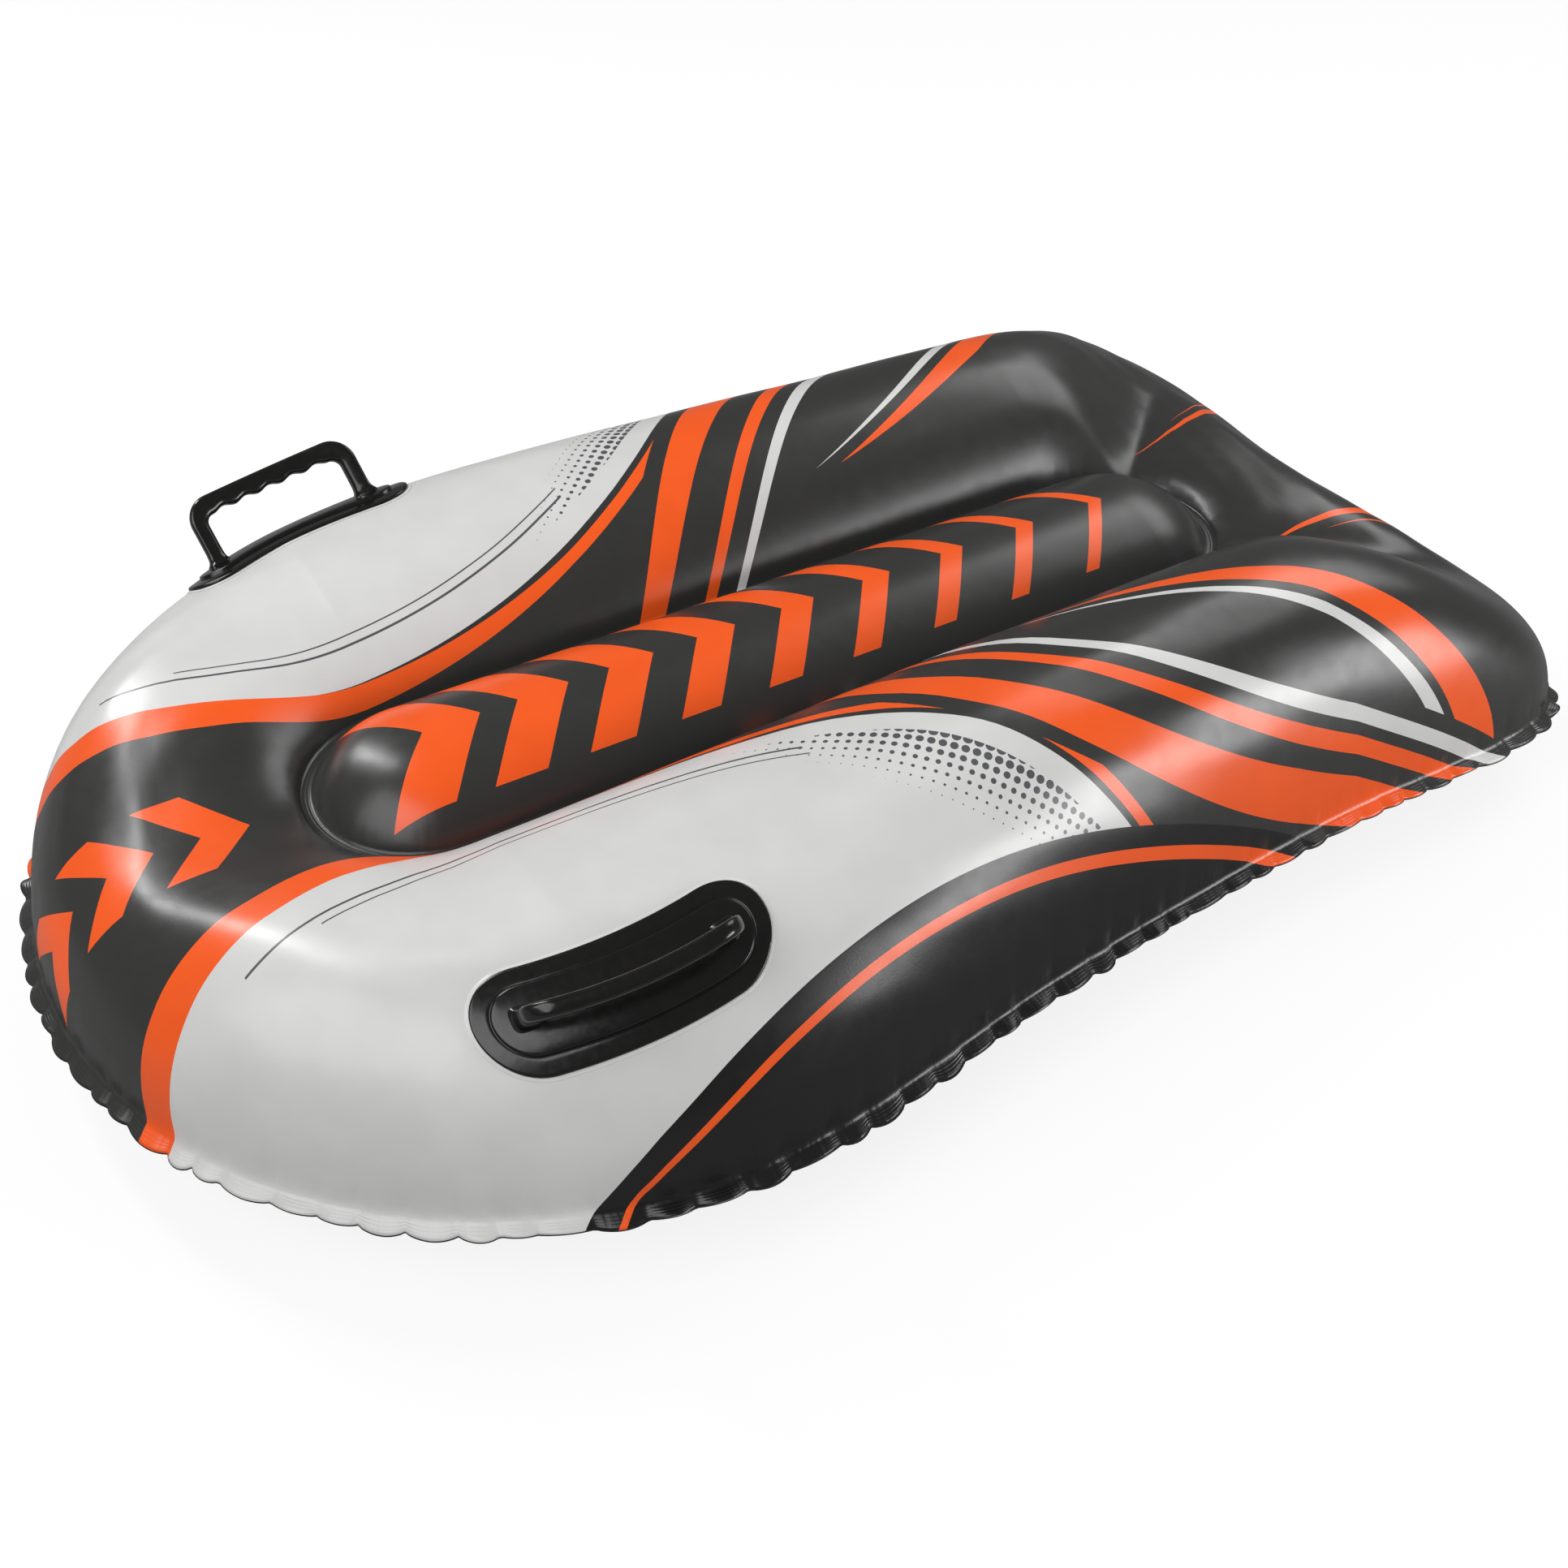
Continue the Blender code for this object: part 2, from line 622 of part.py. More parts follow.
    def valve_insert(self, frame):
        """Make the stem that slides in the neck and carries the flap, the strap and the cap."""
        stem = NECK_BORE / 2 - FINE_CLEARANCE
        collar_low = NECK_TOP + TOUCH_GAP
        collar_high = collar_low + COLLAR_THICKNESS
        top = collar_high + SPIGOT_HEIGHT
        low = -NECK_DEPTH + SEAT_THICKNESS
        profile = (
            (SPIGOT_DIAMETER / 2, top),
            (SPIGOT_DIAMETER / 2, collar_high),
            (COLLAR_DIAMETER / 2, collar_high),
            (COLLAR_DIAMETER / 2, collar_low),
            (stem, collar_low),
            (stem, low),
            (SEAT_BORE / 2, low),
            (SEAT_BORE / 2, low + SEAT_THICKNESS),
            (INSERT_BORE / 2, low + SEAT_THICKNESS),
            (INSERT_BORE / 2, top),
        )
        insert = self.turned("valve_insert", profile, self.clear, frame)
        bpy.context.view_layer.update()
        return insert, low, collar_high, top

    def valve_flap(self, insert, frame, low):
        """Make the check flap: a disc with a tab that hinges at the upper side of the seat."""
        hinge = Vector((0, FLAP_TAB_END - HINGE_OVERHANG, low - TOUCH_GAP - FLAP_THICKNESS / 2))
        disc = rod_mesh(
            "valve_flap", FLAP_DIAMETER, -FLAP_THICKNESS / 2, FLAP_THICKNESS / 2, TURNED_STEPS,
            Matrix.Translation((0, -hinge.y, 0)),
        )
        flap = self.part("valve_flap", disc, self.black)
        tab_start = -FLAP_DIAMETER / 4
        tab_length = HINGE_OVERHANG - tab_start
        tab = block_mesh(
            "flap_tab",
            (FLAP_TAB_WIDTH, tab_length, FLAP_TAB_THICKNESS),
            (0, tab_start + tab_length / 2, 0),
        )
        place = frame @ Matrix.Translation(hinge)
        cut(flap, self.cutter("flap_tab", tab, place), "UNION")
        self.carried(flap, insert, place)

    def valve_strap(self, insert, frame, collar_high, top):
        """Make the strap: a ring round the spigot and a strip with a block that holds the cap."""
        ring_inner = SPIGOT_DIAMETER / 2 + TOUCH_GAP
        ring_outer = ring_inner + STRAP_RING_WALL
        low = collar_high + TOUCH_GAP
        high = low + STRAP_THICKNESS
        profile = ((ring_outer, high), (ring_outer, low), (ring_inner, low), (ring_inner, high))
        strap = self.turned("valve_strap", profile, self.black, frame)
        start = ring_inner + STRAP_RING_WALL / 2
        strip = block_mesh(
            "strap_strip",
            (STRAP_WIDTH, STRAP_END - BLOCK_LENGTH / 2 - start, STRIP_THICKNESS),
            (0, (STRAP_END - BLOCK_LENGTH / 2 + start) / 2, (low + high) / 2),
        )
        block = block_mesh(
            "strap_block",
            (BLOCK_WIDTH, BLOCK_LENGTH, top - low),
            (0, STRAP_END - BLOCK_LENGTH / 2, (low + top) / 2),
        )
        cut(strap, self.cutter("strap_strip", strip, frame), "UNION")
        cut(strap, self.cutter("strap_block", block, frame), "UNION")
        self.carried(strap, insert, frame)

    def valve_cap(self, insert, frame, top):
        """Make the cap: a disc with a short plug, and a lug that hinges on the strap's block."""
        lug_low = top + TOUCH_GAP + (CAP_THICKNESS - LUG_THICKNESS) / 2
        hinge = Vector((0, STRAP_END - HINGE_OVERHANG, lug_low + HINGE_OVERHANG / 2))
        low = top + TOUCH_GAP - hinge.z
        middle = Matrix.Translation((0, -hinge.y, 0))
        disc = rod_mesh("valve_cap", CAP_DIAMETER, low, low + CAP_THICKNESS, TURNED_STEPS, middle)
        plug_diameter = INSERT_BORE - 2 * FINE_CLEARANCE
        plug_high = low + CAP_THICKNESS / 2
        plug = rod_mesh("cap_plug", plug_diameter, low - PLUG_LENGTH, plug_high, TURNED_STEPS, middle)
        lug_start = CAP_DIAMETER / 4 - hinge.y
        lug_length = HINGE_OVERHANG - lug_start
        lug = block_mesh(
            "cap_lug",
            (STRAP_WIDTH, lug_length, LUG_THICKNESS),
            (0, lug_start + lug_length / 2, low + CAP_THICKNESS / 2),
        )
        place = frame @ Matrix.Translation(hinge)
        cap = self.part("valve_cap", disc, self.black)
        cut(cap, self.cutter("cap_plug", plug, place), "UNION")
        cut(cap, self.cutter("cap_lug", lug, place), "UNION")
        self.carried(cap, insert, place)

    def valve(self, top):
        """Make the air valve in the middle of the rear wall."""
        frame = surface_frame(SPOKES, VALVE_RISE_SHARE)
        self.valve_base(top, SPOKES, frame)
        insert, low, collar_high, spigot_top = self.valve_insert(frame)
        self.valve_flap(insert, frame, low)
        self.valve_strap(insert, frame, collar_high, spigot_top)
        self.valve_cap(insert, frame, spigot_top)


def handle_place():
    """Return the handles' place on the seam, counted in spokes from the nose."""
    run = np.interp(HANDLE_FROM_NOSE - SEAM_LENGTH / 2, SEAM[:, 1], SEAM_RUN)
    return float(run / SEAM_RUN[-1] * SPOKES)


def main():
    """Build the sled."""
    clear_scene()
    builder = Builder()
    top = builder.skins()
    place = handle_place()
    builder.handle("left", place, HANDLE_YAW)
    builder.handle("right", 2 * SPOKES - place, -HANDLE_YAW)
    builder.valve(top)


main()
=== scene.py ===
"""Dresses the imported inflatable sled: printed and dark sheets, moulded handles and an air valve.

Everything is in metres in the frame of the CAD model. The nose points along -Y, the rider's left is
+X and the sled rests at z = 0.
"""

import logging
import math
from collections.abc import Callable, Iterator, Sequence
from contextlib import contextmanager
from dataclasses import dataclass
from enum import Enum
from typing import Any

import bmesh
import bpy
import numpy as np
from mathutils import Matrix, Vector
from mathutils.bvhtree import BVHTree


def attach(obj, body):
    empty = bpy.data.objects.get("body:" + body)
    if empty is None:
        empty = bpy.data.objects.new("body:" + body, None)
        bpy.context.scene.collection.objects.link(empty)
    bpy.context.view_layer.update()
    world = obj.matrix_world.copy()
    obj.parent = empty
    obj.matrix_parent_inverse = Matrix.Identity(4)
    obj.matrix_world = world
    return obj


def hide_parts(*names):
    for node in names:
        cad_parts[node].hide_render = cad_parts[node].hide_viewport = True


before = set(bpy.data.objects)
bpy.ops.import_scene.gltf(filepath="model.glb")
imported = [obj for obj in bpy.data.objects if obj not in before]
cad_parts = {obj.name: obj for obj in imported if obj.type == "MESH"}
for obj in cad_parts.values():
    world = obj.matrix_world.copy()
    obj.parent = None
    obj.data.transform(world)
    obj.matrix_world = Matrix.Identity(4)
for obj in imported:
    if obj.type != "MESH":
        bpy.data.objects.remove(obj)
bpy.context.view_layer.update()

LOG = logging.getLogger("sled")
MM = 0.001
PICTURE_SIDE = 1932
SENSOR_WIDTH = 36.0
WHITE = (1, 1, 1, 1)
# The colour mix node's sockets: the colour below, the colour over it, and the result.
MIX_UNDER, MIX_OVER, MIX_RESULT = 6, 7, 2
SAME_POINT = 0.01 * MM
SHARP_ANGLE = math.radians(32)

Pair = tuple[float, float]
Triple = tuple[float, float, float]
Height = Callable[[np.ndarray], np.ndarray]


class Side(Enum):
    """The two long sides of the sled, as the rider sees them, with the sign of X."""

    LEFT = 1
    RIGHT = -1


class Face(Enum):
    """The two welded sheets, with the sign of the way they look."""

    TOP = 1
    BOTTOM = -1


class Axis(Enum):
    """The two directions on the flat printed sheet."""

    ACROSS = "across"
    ALONG = "along"


class Ink(Enum):
    """The inks of the printed sheet, as sRGB hex."""

    CHARCOAL = "#333332"
    PALE = "#dcdcdb"
    ORANGE = "#ff5f1a"
    BLACK = "#151516"
    SLATE = "#55565a"


def linear(colour: str) -> tuple[float, float, float, float]:
    """Turn a colour from sRGB hex to linear light.

    Args:
        colour: The colour as "#rrggbb".

    Returns:
        Red, green, blue and alpha.
    """
    levels = (int(colour[start : start + 2], 16) / 255 for start in (1, 3, 5))
    light = (
        level / 12.92 if level <= 0.04045 else ((level + 0.055) / 1.055) ** 2.4 for level in levels
    )
    return (*light, 1.0)


def add_node(
    tree: bpy.types.NodeTree, kind: str, links: dict[Any, Any] | None = None, **settings: Any
) -> Any:
    """Add a node to a tree, with its settings and links.

    Args:
        tree: The tree that takes the node.
        kind: The node's type name, after the ShaderNode that they all start with.
        links: For each input, by name or number, the output that feeds it or the value it holds.
        **settings: Values of the node's own properties.

    Returns:
        The new node.
    """
    node = tree.nodes.new("ShaderNode" + kind)
    for name, value in settings.items():
        setattr(node, name, value)
    for key, value in (links or {}).items():
        if isinstance(value, bpy.types.NodeSocket):
            tree.links.new(value, node.inputs[key])
        else:
            node.inputs[key].default_value = value
    return node


@dataclass(frozen=True)
class Spokes:
    """Lines from the pillow's middle line out to the weld seam, round the whole sled.

    Each field is an array with one row a spoke. The first spoke is at the nose and they run to the
    rider's left, round the rear and back.
    """

    hub: np.ndarray
    direction: np.ndarray
    reach: np.ndarray
    crest: np.ndarray
    run: np.ndarray
    share: np.ndarray

    def points(self, distance: np.ndarray, height: np.ndarray) -> np.ndarray:
        """Place points on the spokes.

        Args:
            distance: Distances along the spokes, one row a line round the sled.
            height: Heights, of the same form.

        Returns:
            The points, with X, Y and Z in the last axis.
        """
        across = self.direction[:, 0] * distance
        along = self.hub + self.direction[:, 1] * distance
        return np.stack((across, along, height + 0 * across), axis=-1)


@dataclass(frozen=True)
class Outline:
    """The sled's plan and section sizes, which are the CAD model's own.

    A station holds a share of the length from the nose, of the half width and of the crest height.
    """

    seam_length: float = 1.236
    seam_width: float = 0.785
    crest_height: float = 0.243
    seam_height: float = 0.070
    flange: float = 0.0115
    sheet: float = 0.0006
    touch_gap: float = 0.0003
    nose_tube: float = 0.2075
    rear_tube: float = 0.1465
    pillow_width: float = 0.186
    pillow_height: float = 0.197
    valley_height: float = 0.152
    weld_line: float = 0.008
    crest_share: float = 0.526
    round_share: float = 0.5523
    seam_slope: float = math.radians(90)
    valley_slope: float = math.radians(68)
    pillow_slope: float = math.radians(62)
    floor_outer_share: float = 0.50
    floor_inner_share: float = 0.30
    groove_height: float = 0.014
    groove_slope: float = math.radians(40)
    keel_height: float = 0.003
    cad_spokes: int = 40
    cad_nudge: float = 1 / 24
    spline_steps: int = 256
    stations: tuple[Triple, ...] = (
        (0.000, 0.00, 0.71),
        (0.040, 0.49, 0.81),
        (0.142, 0.84, 0.84),
        (0.279, 1.00, 0.90),
        (0.483, 0.925, 0.99),
        (0.650, 0.86, 1.00),
        (0.804, 0.83, 0.99),
        (0.924, 0.83, 0.87),
        (0.978, 0.78, 0.74),
        (1.000, 0.675, 0.68),
        (0.995, 0.48, 0.70),
        (0.971, 0.00, 0.735),
    )

    def closed_spline(self, stations: np.ndarray) -> np.ndarray:
        """Run a smooth closed curve through the stations.

        Args:
            stations: The stations, one a row.

        Returns:
            Fine points on the curve.
        """
        following = np.roll(stations, -1, axis=0)
        steps = np.linalg.norm(following[:, :2] - stations[:, :2], axis=1)[:, None]
        slopes = (following - stations) / steps
        count = len(stations)
        system = np.zeros((count, count))
        for row in range(count):
            system[row, row - 1] += steps[row - 1, 0]
            system[row, row] += 2 * (steps[row - 1, 0] + steps[row, 0])
            system[row, (row + 1) % count] += steps[row, 0]
        bends = np.linalg.solve(system, 6 * (slopes - np.roll(slopes, 1, axis=0)))
        after = np.linspace(0, 1, self.spline_steps, endpoint=False)[None, :, None]
        before = 1 - after
        curve = before * stations[:, None] + after * following[:, None]
        bulge = (before**3 - before) * bends[:, None]
        bulge = bulge + (after**3 - after) * np.roll(bends, -1, axis=0)[:, None]
        return (curve + bulge * steps[:, None] ** 2 / 6).reshape(-1, stations.shape[1])

    def half_seam(self) -> tuple[np.ndarray, np.ndarray]:
        """Run the weld seam down one side.

        Returns:
            Fine points of X, Y and crest height, and the distance round the seam at each.
        """
        half = np.array(self.stations)[:, [1, 0, 2]]
        other = half[-2:0:-1] * (-1, 1, 1)
        scale = (self.seam_width / 2, self.seam_length, self.crest_height)
        curve = self.closed_spline(np.vstack((half, other)) * scale)
        first, last = curve[:, 1].min(), curve[:, 1].max()
        curve[:, 0] *= self.seam_width / 2 / np.abs(curve[:, 0]).max()
        curve[:, 1] = (curve[:, 1] - (first + last) / 2) * self.seam_length / (last - first)
        curve = curve[: self.spline_steps * (len(self.stations) - 1) + 1]
        steps = np.linalg.norm(np.diff(curve[:, :2], axis=0), axis=1)
        lengths = np.concatenate(([0], np.cumsum(steps)))
        marks = np.linspace(0, lengths[-1], self.cad_spokes + 1)
        across, along = (np.interp(marks, lengths, curve[:, axis]) for axis in range(2))
        rise = along - np.clip(along, *self.hub_ends(curve))
        edge = along + self.flange * rise / np.hypot(across, rise)
        curve[:, 1] -= (edge.min() + edge.max()) / 2
        return curve, lengths

    def hub_ends(self, seam: np.ndarray) -> Pair:
        """Return where the pillow's middle line starts and ends along Y, inside a half seam."""
        half = self.pillow_width / 2
        return seam[0, 1] + self.nose_tube + half, seam[-1, 1] - self.rear_tube - half

    def spokes_at(self, run: np.ndarray) -> Spokes:
        """Make spokes at distances round the seam.

        Args:
            run: Distances from the nose, up to the whole length of the seam.

        Returns:
            The spokes there.
        """
        seam, lengths = self.half_seam()
        half = lengths[-1]
        folded = np.where(run > half, 2 * half - run, run)
        x, y, crest = (np.interp(folded, lengths, seam[:, axis]) for axis in range(3))
        hub = np.clip(y, *self.hub_ends(seam))
        line = np.stack((x, y - hub), axis=1)
        reach = np.linalg.norm(line, axis=1)
        direction = line / reach[:, None]
        direction[:, 0] *= np.where(run > half, -1, 1)
        return Spokes(hub, direction, reach, crest, run, folded / half)

    def loop(self, half_count: int) -> Spokes:
        """Return spokes at even distances round the whole seam, so many to each half."""
        half = self.half_seam()[1][-1]
        return self.spokes_at(np.arange(2 * half_count) * half / half_count)

    def flank(
        self, foot: Sequence[Any], top: Sequence[Any], slope: float, share: np.ndarray
    ) -> list[np.ndarray]:
        """Run up a bulging flank from its sloped foot to its level top.

        Args:
            foot: Distance and height of the foot on each spoke.
            top: Distance and height of the top on each spoke.
            slope: The slope at the foot.
            share: Shares of the way up.

        Returns:
            Distances and heights, one row a share.
        """
        share = share[:, None]
        left = 1 - share
        weights = (left**3, 3 * left**2 * share, 3 * left * share**2, share**3)
        run, climb = top[0] - foot[0], top[1] - foot[1]
        lean = np.sign(run) * np.abs(climb) / math.tan(slope)
        handles = (
            foot,
            (foot[0] + self.round_share * lean, foot[1] + self.round_share * climb),
            (top[0] - self.round_share * run, top[1]),
            top,
        )
        return [
            sum(weight * handle[axis] for weight, handle in zip(weights, handles))
            for axis in range(2)
        ]

    def ring_distance(self, spokes: Spokes, share: float) -> np.ndarray:
        """Return the distance along each spoke at a share of the ring tube's width."""
        return self.pillow_width / 2 + (spokes.reach - self.pillow_width / 2) * share

    def surface_frame(self, run: float, rise: float) -> Matrix:
        """Make a frame on the ring tube's outer flank, as the CAD model has it.

        Args:
            run: Distance round the seam.
            rise: Share of the way up from the seam to the crest.

        Returns:
            A frame with X round the tube, Y up to the crest and Z out of the skin.
        """
        step = self.half_seam()[1][-1] / self.cad_spokes * self.cad_nudge

        def on_skin(shift: float, share: float) -> Vector:
            """Find a point of the flank.

            Args:
                shift: How far it is from the run, round the seam.
                share: Its share of the way up.

            Returns:
                The point.
            """
            spokes = self.spokes_at(np.array([run + shift]))
            seam = (spokes.reach, self.seam_height + self.touch_gap / 2 + self.sheet)
            crest = (self.ring_distance(spokes, self.crest_share), spokes.crest)
            place = self.flank(seam, crest, self.seam_slope, np.array([share]))
            return Vector(spokes.points(*place)[0, 0])

        along = (on_skin(step, rise) - on_skin(-step, rise)).normalized()
        up = on_skin(0, rise + self.cad_nudge) - on_skin(0, rise - self.cad_nudge)
        out = along.cross(up).normalized()
        place = Matrix((along, out.cross(along), out)).transposed().to_4x4()
        place.translation = on_skin(0, rise)
        return place


@dataclass(frozen=True)
class Ruffle:
    """The uneven gathers of a weld: rounded lobes with sharp valleys between them."""

    shortest: float
    longest: float
    seed: int
    roundness: float = 0.7
    sizes: Pair = (0.55, 1.0)
    leans: Pair = (-0.35, 1.0)

    def wave(self, run: np.ndarray, length: float) -> tuple[np.ndarray, np.ndarray]:
        """Give the gathers along a closed weld.

        Args:
            run: Distances along the weld.
            length: The weld's whole length.

        Returns:
            The lobes' height, from 0 in a valley to 1, and how far each lobe leans up.
        """
        draw = np.random.default_rng(self.seed)
        count = round(2 * length / (self.shortest + self.longest))
        pitch = draw.uniform(self.shortest, self.longest, count)
        pitch *= length / pitch.sum()
        knots = np.concatenate(([0], np.cumsum(pitch)))
        size = draw.uniform(*self.sizes, count)
        lean = draw.uniform(*self.leans, count)
        index = np.clip(np.searchsorted(knots, run, side="right") - 1, 0, count - 1)
        inside = np.clip((run - knots[index]) / pitch[index], 0, 1)
        return np.sin(np.pi * inside) ** self.roundness * size[index], lean[index]


def grid_mesh(name: str, points: np.ndarray, upward: bool) -> bpy.types.Mesh:
    """Make a mesh from lines of points round the sled.

    Args:
        name: The mesh's name.
        points: The points, by line from the edge inward and by spoke.
        upward: Whether the faces look up.

    Returns:
        The mesh, with its closing columns joined.
    """
    rows, columns = points.shape[:2]
    numbers = np.arange(rows * columns).reshape(rows, columns)
    beside = np.roll(numbers, -1, axis=1)
    corners = [numbers[:-1], beside[:-1], beside[1:], numbers[1:]]
    faces = np.stack(corners if upward else corners[::-1], axis=-1).reshape(-1, 4)
    mesh = bpy.data.meshes.new(name)
    mesh.from_pydata(points.reshape(-1, 3).tolist(), [], faces.tolist())
    return mesh


def vector_attribute(mesh: bpy.types.Mesh, name: str, values: np.ndarray) -> None:
    """Keep a vector at each point of a mesh, for its material to read."""
    store = mesh.attributes.new(name, "FLOAT_VECTOR", "POINT")
    store.data.foreach_set("vector", values.astype(np.float32).ravel())


@contextmanager
def edited(mesh: bpy.types.Mesh) -> Iterator[bmesh.types.BMesh]:
    """Open a mesh for editing and write it back at the end.

    Args:
        mesh: The mesh.

    Yields:
        Its open form.
    """
    shape = bmesh.new()
    shape.from_mesh(mesh)
    yield shape
    shape.to_mesh(mesh)
    shape.free()


def new_piece(
    name: str, mesh: bpy.types.Mesh, body: str, slot: str, *nodes: str
) -> bpy.types.Object:
    """Show a mesh as a piece of the sled.

    Args:
        name: The piece's name.
        mesh: Its mesh.
        body: The CAD body that it rides on.
        slot: The name of a material slot, which is not used.
        *nodes: The CAD nodes that it stands for.

    Returns:
        The new object.
    """
    piece = bpy.data.objects.new(name, mesh)
    bpy.context.scene.collection.objects.link(piece)
    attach(piece, body)
    if nodes:
        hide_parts(*nodes)
    LOG.info("%s: %d faces on %s", name, len(mesh.polygons), body)
    return piece


class Finish:
    """A surface on one Principled shader, with what all of the sled's plastics share."""

    name: str
    noise_detail = 2.0
    noise_limits = (0.3, 0.7)
    grain_softness = 0.6

    def start(self, **sockets: Any) -> tuple[bpy.types.Material, bpy.types.NodeTree, Any]:
        """Start the material.

        Args:
            **sockets: Values of the shader's sockets, with an underscore for each space.

        Returns:
            The material, its tree and its shader.
        """
        material = bpy.data.materials.new(self.name)
        material.use_nodes = True
        shader = material.node_tree.nodes["Principled BSDF"]
        for key, value in sockets.items():
            shader.inputs[key.replace("_", " ")].default_value = value
        return material, material.node_tree, shader

    def build(self) -> bpy.types.Material:
        """Build the material, each kind of finish in its own way."""
        raise NotImplementedError

    def put_on(self, *pieces: bpy.types.Object) -> None:
        """Give each piece the material, which is built for the first of them."""
        for piece in pieces:
            piece.data.materials.append(bpy.data.materials.get(self.name) or self.build())

    def drift(self, tree: bpy.types.NodeTree, size: float, low: float, high: float) -> Any:
        """Let a number drift from place to place.

        Args:
            tree: The material's tree.
            size: The size of the patches.
            low: The number's low end.
            high: Its high end.

        Returns:
            The number's socket.
        """
        place = add_node(tree, "TexCoord").outputs["Object"]
        links = {"Vector": place, "Scale": 1 / size, "Detail": self.noise_detail}
        cloud = add_node(tree, "TexNoise", links).outputs[0]
        first, last = self.noise_limits
        links = {"Value": cloud, "From Min": first, "From Max": last, "To Min": low, "To Max": high}
        return add_node(tree, "MapRange", links).outputs["Result"]

    def mottled(self, tree: bpy.types.NodeTree, colour: Any, size: float, share: float) -> Any:
        """Let a colour grow slightly lighter and darker from place to place.

        Args:
            tree: The material's tree.
            colour: The colour, or the socket that gives it.
            size: The size of the patches.
            share: The share by which its light changes either way.

        Returns:
            The socket of the drifting colour.
        """
        links = {0: colour, "Scale": self.drift(tree, size, 1 - share, 1 + share)}
        return add_node(tree, "VectorMath", links, operation="SCALE").outputs[0]

    def leathery(self, tree: bpy.types.NodeTree, size: float) -> Any:
        """Emboss a fine grain.

        Args:
            tree: The material's tree.
            size: The size of the grain's cells.

        Returns:
            The socket of its height, from 0 to 1.
        """
        place = add_node(tree, "TexCoord").outputs["Object"]
        links = {"Vector": place, "Scale": 1 / size, "Smoothness": self.grain_softness}
        return add_node(tree, "TexVoronoi", links, feature="SMOOTH_F1").outputs["Distance"]

    def raised(self, tree: bpy.types.NodeTree, layers: Sequence[tuple[Any, float]]) -> Any:
        """Lay several reliefs over each other.

        Args:
            tree: The material's tree.
            layers: For each relief the socket of its height and how deep a height of 1 is.

        Returns:
            The socket of the bent normal.
        """
        total: Any = 0.0
        for height, depth in layers:
            links = {0: height, 1: depth, 2: total}
            total = add_node(tree, "Math", links, operation="MULTIPLY_ADD").outputs[0]
        return add_node(tree, "Bump", {"Height": total, "Distance": 1.0}).outputs["Normal"]


@dataclass(frozen=True)
class Plastic(Finish):
    """A plastic of one colour, with the drift, the gloss and the grain that its making leaves."""

    name: str
    colour: str
    gloss: Pair
    cloud: float = 30 * MM
    drift_share: float = 0.04
    grain: float = 1.2 * MM
    grain_depth: float = 0.02 * MM
    clear: float = 0.0
    ior: float = 1.53

    def build(self) -> bpy.types.Material:
        """Build the material.

        Returns:
            The material.
        """
        material, tree, shader = self.start(IOR=self.ior, Transmission_Weight=self.clear)
        colour = self.mottled(tree, linear(self.colour)[:3], self.cloud, self.drift_share)
        tree.links.new(colour, shader.inputs["Base Color"])
        gloss = self.drift(tree, self.cloud / 3, *self.gloss)
        tree.links.new(gloss, shader.inputs["Roughness"])
        relief = self.raised(tree, ((self.leathery(tree, self.grain), self.grain_depth),))
        tree.links.new(relief, shader.inputs["Normal"])
        return material


# PVC injection moulded in a polished steel mould: near black, with sharp glints and a faint
# orange peel.
GLOSS_MOULDING = Plastic(
    "gloss_moulded_pvc", "#161514", (0.15, 0.24), 18 * MM, 0.05, 5 * MM, 0.03 * MM
)
# Calendered white PVC sheet without print: satin, with the same grain as the top sheet.
PALE_PATCH = Plastic("pale_pvc_patch", "#e2e2e1", (0.28, 0.36), 20 * MM, 0.02, 1.6 * MM, 0.03 * MM)
# The cut edge of the sheet shows the compound through its whole thickness, dull from the blade.
CUT_EDGE = Plastic("cut_pvc_edge", "#b9b9b8", (0.45, 0.55), 8 * MM, 0.06, 0.8 * MM, 0.03 * MM)
DARK_CUT_EDGE = Plastic(
    "cut_dark_pvc_edge", "#1d1d1f", (0.45, 0.55), 8 * MM, 0.06, 0.8 * MM, 0.03 * MM
)
# Milky PVC sheet, unprinted: a little light passes the web.
WEB_SHEET = Plastic(
    "milky_pvc_sheet", "#c9cbcb", (0.34, 0.42), 30 * MM, 0.03, 1.6 * MM, 0.03 * MM, 0.15
)
# Plasticised PVC moulded without pigment: soft, smoky and half clear, with a waxy sheen.
SOFT_VINYL = Plastic(
    "soft_clear_vinyl", "#a6a9ac", (0.20, 0.26), 6 * MM, 0.04, 2.5 * MM, 0.02 * MM, 0.35
)
# The same compound with carbon black, from an eroded mould: matt and slightly velvety.
SOFT_BLACK = Plastic("soft_black_vinyl", "#1c1c1d", (0.36, 0.46), 6 * MM, 0.06, 0.7 * MM, 0.03 * MM)
FLAP_SHEET = Plastic("soft_flap_sheet", "#202124", (0.48, 0.58), 5 * MM, 0.06, 0.7 * MM, 0.02 * MM)


@dataclass(frozen=True)
class FlatPlace:
    """The sockets of a place on the flat sheet, which is alike on both sides of the sled."""

    tree: bpy.types.NodeTree
    place: Any
    axes: dict[Axis, Any]


class Bound:
    """What bounds a printed shape."""

    def mask(self, flat: FlatPlace) -> Any:
        """Work out where the bound holds.

        Args:
            flat: The place on the flat sheet.

        Returns:
            A socket that is 1 where it holds.
        """
        raise NotImplementedError


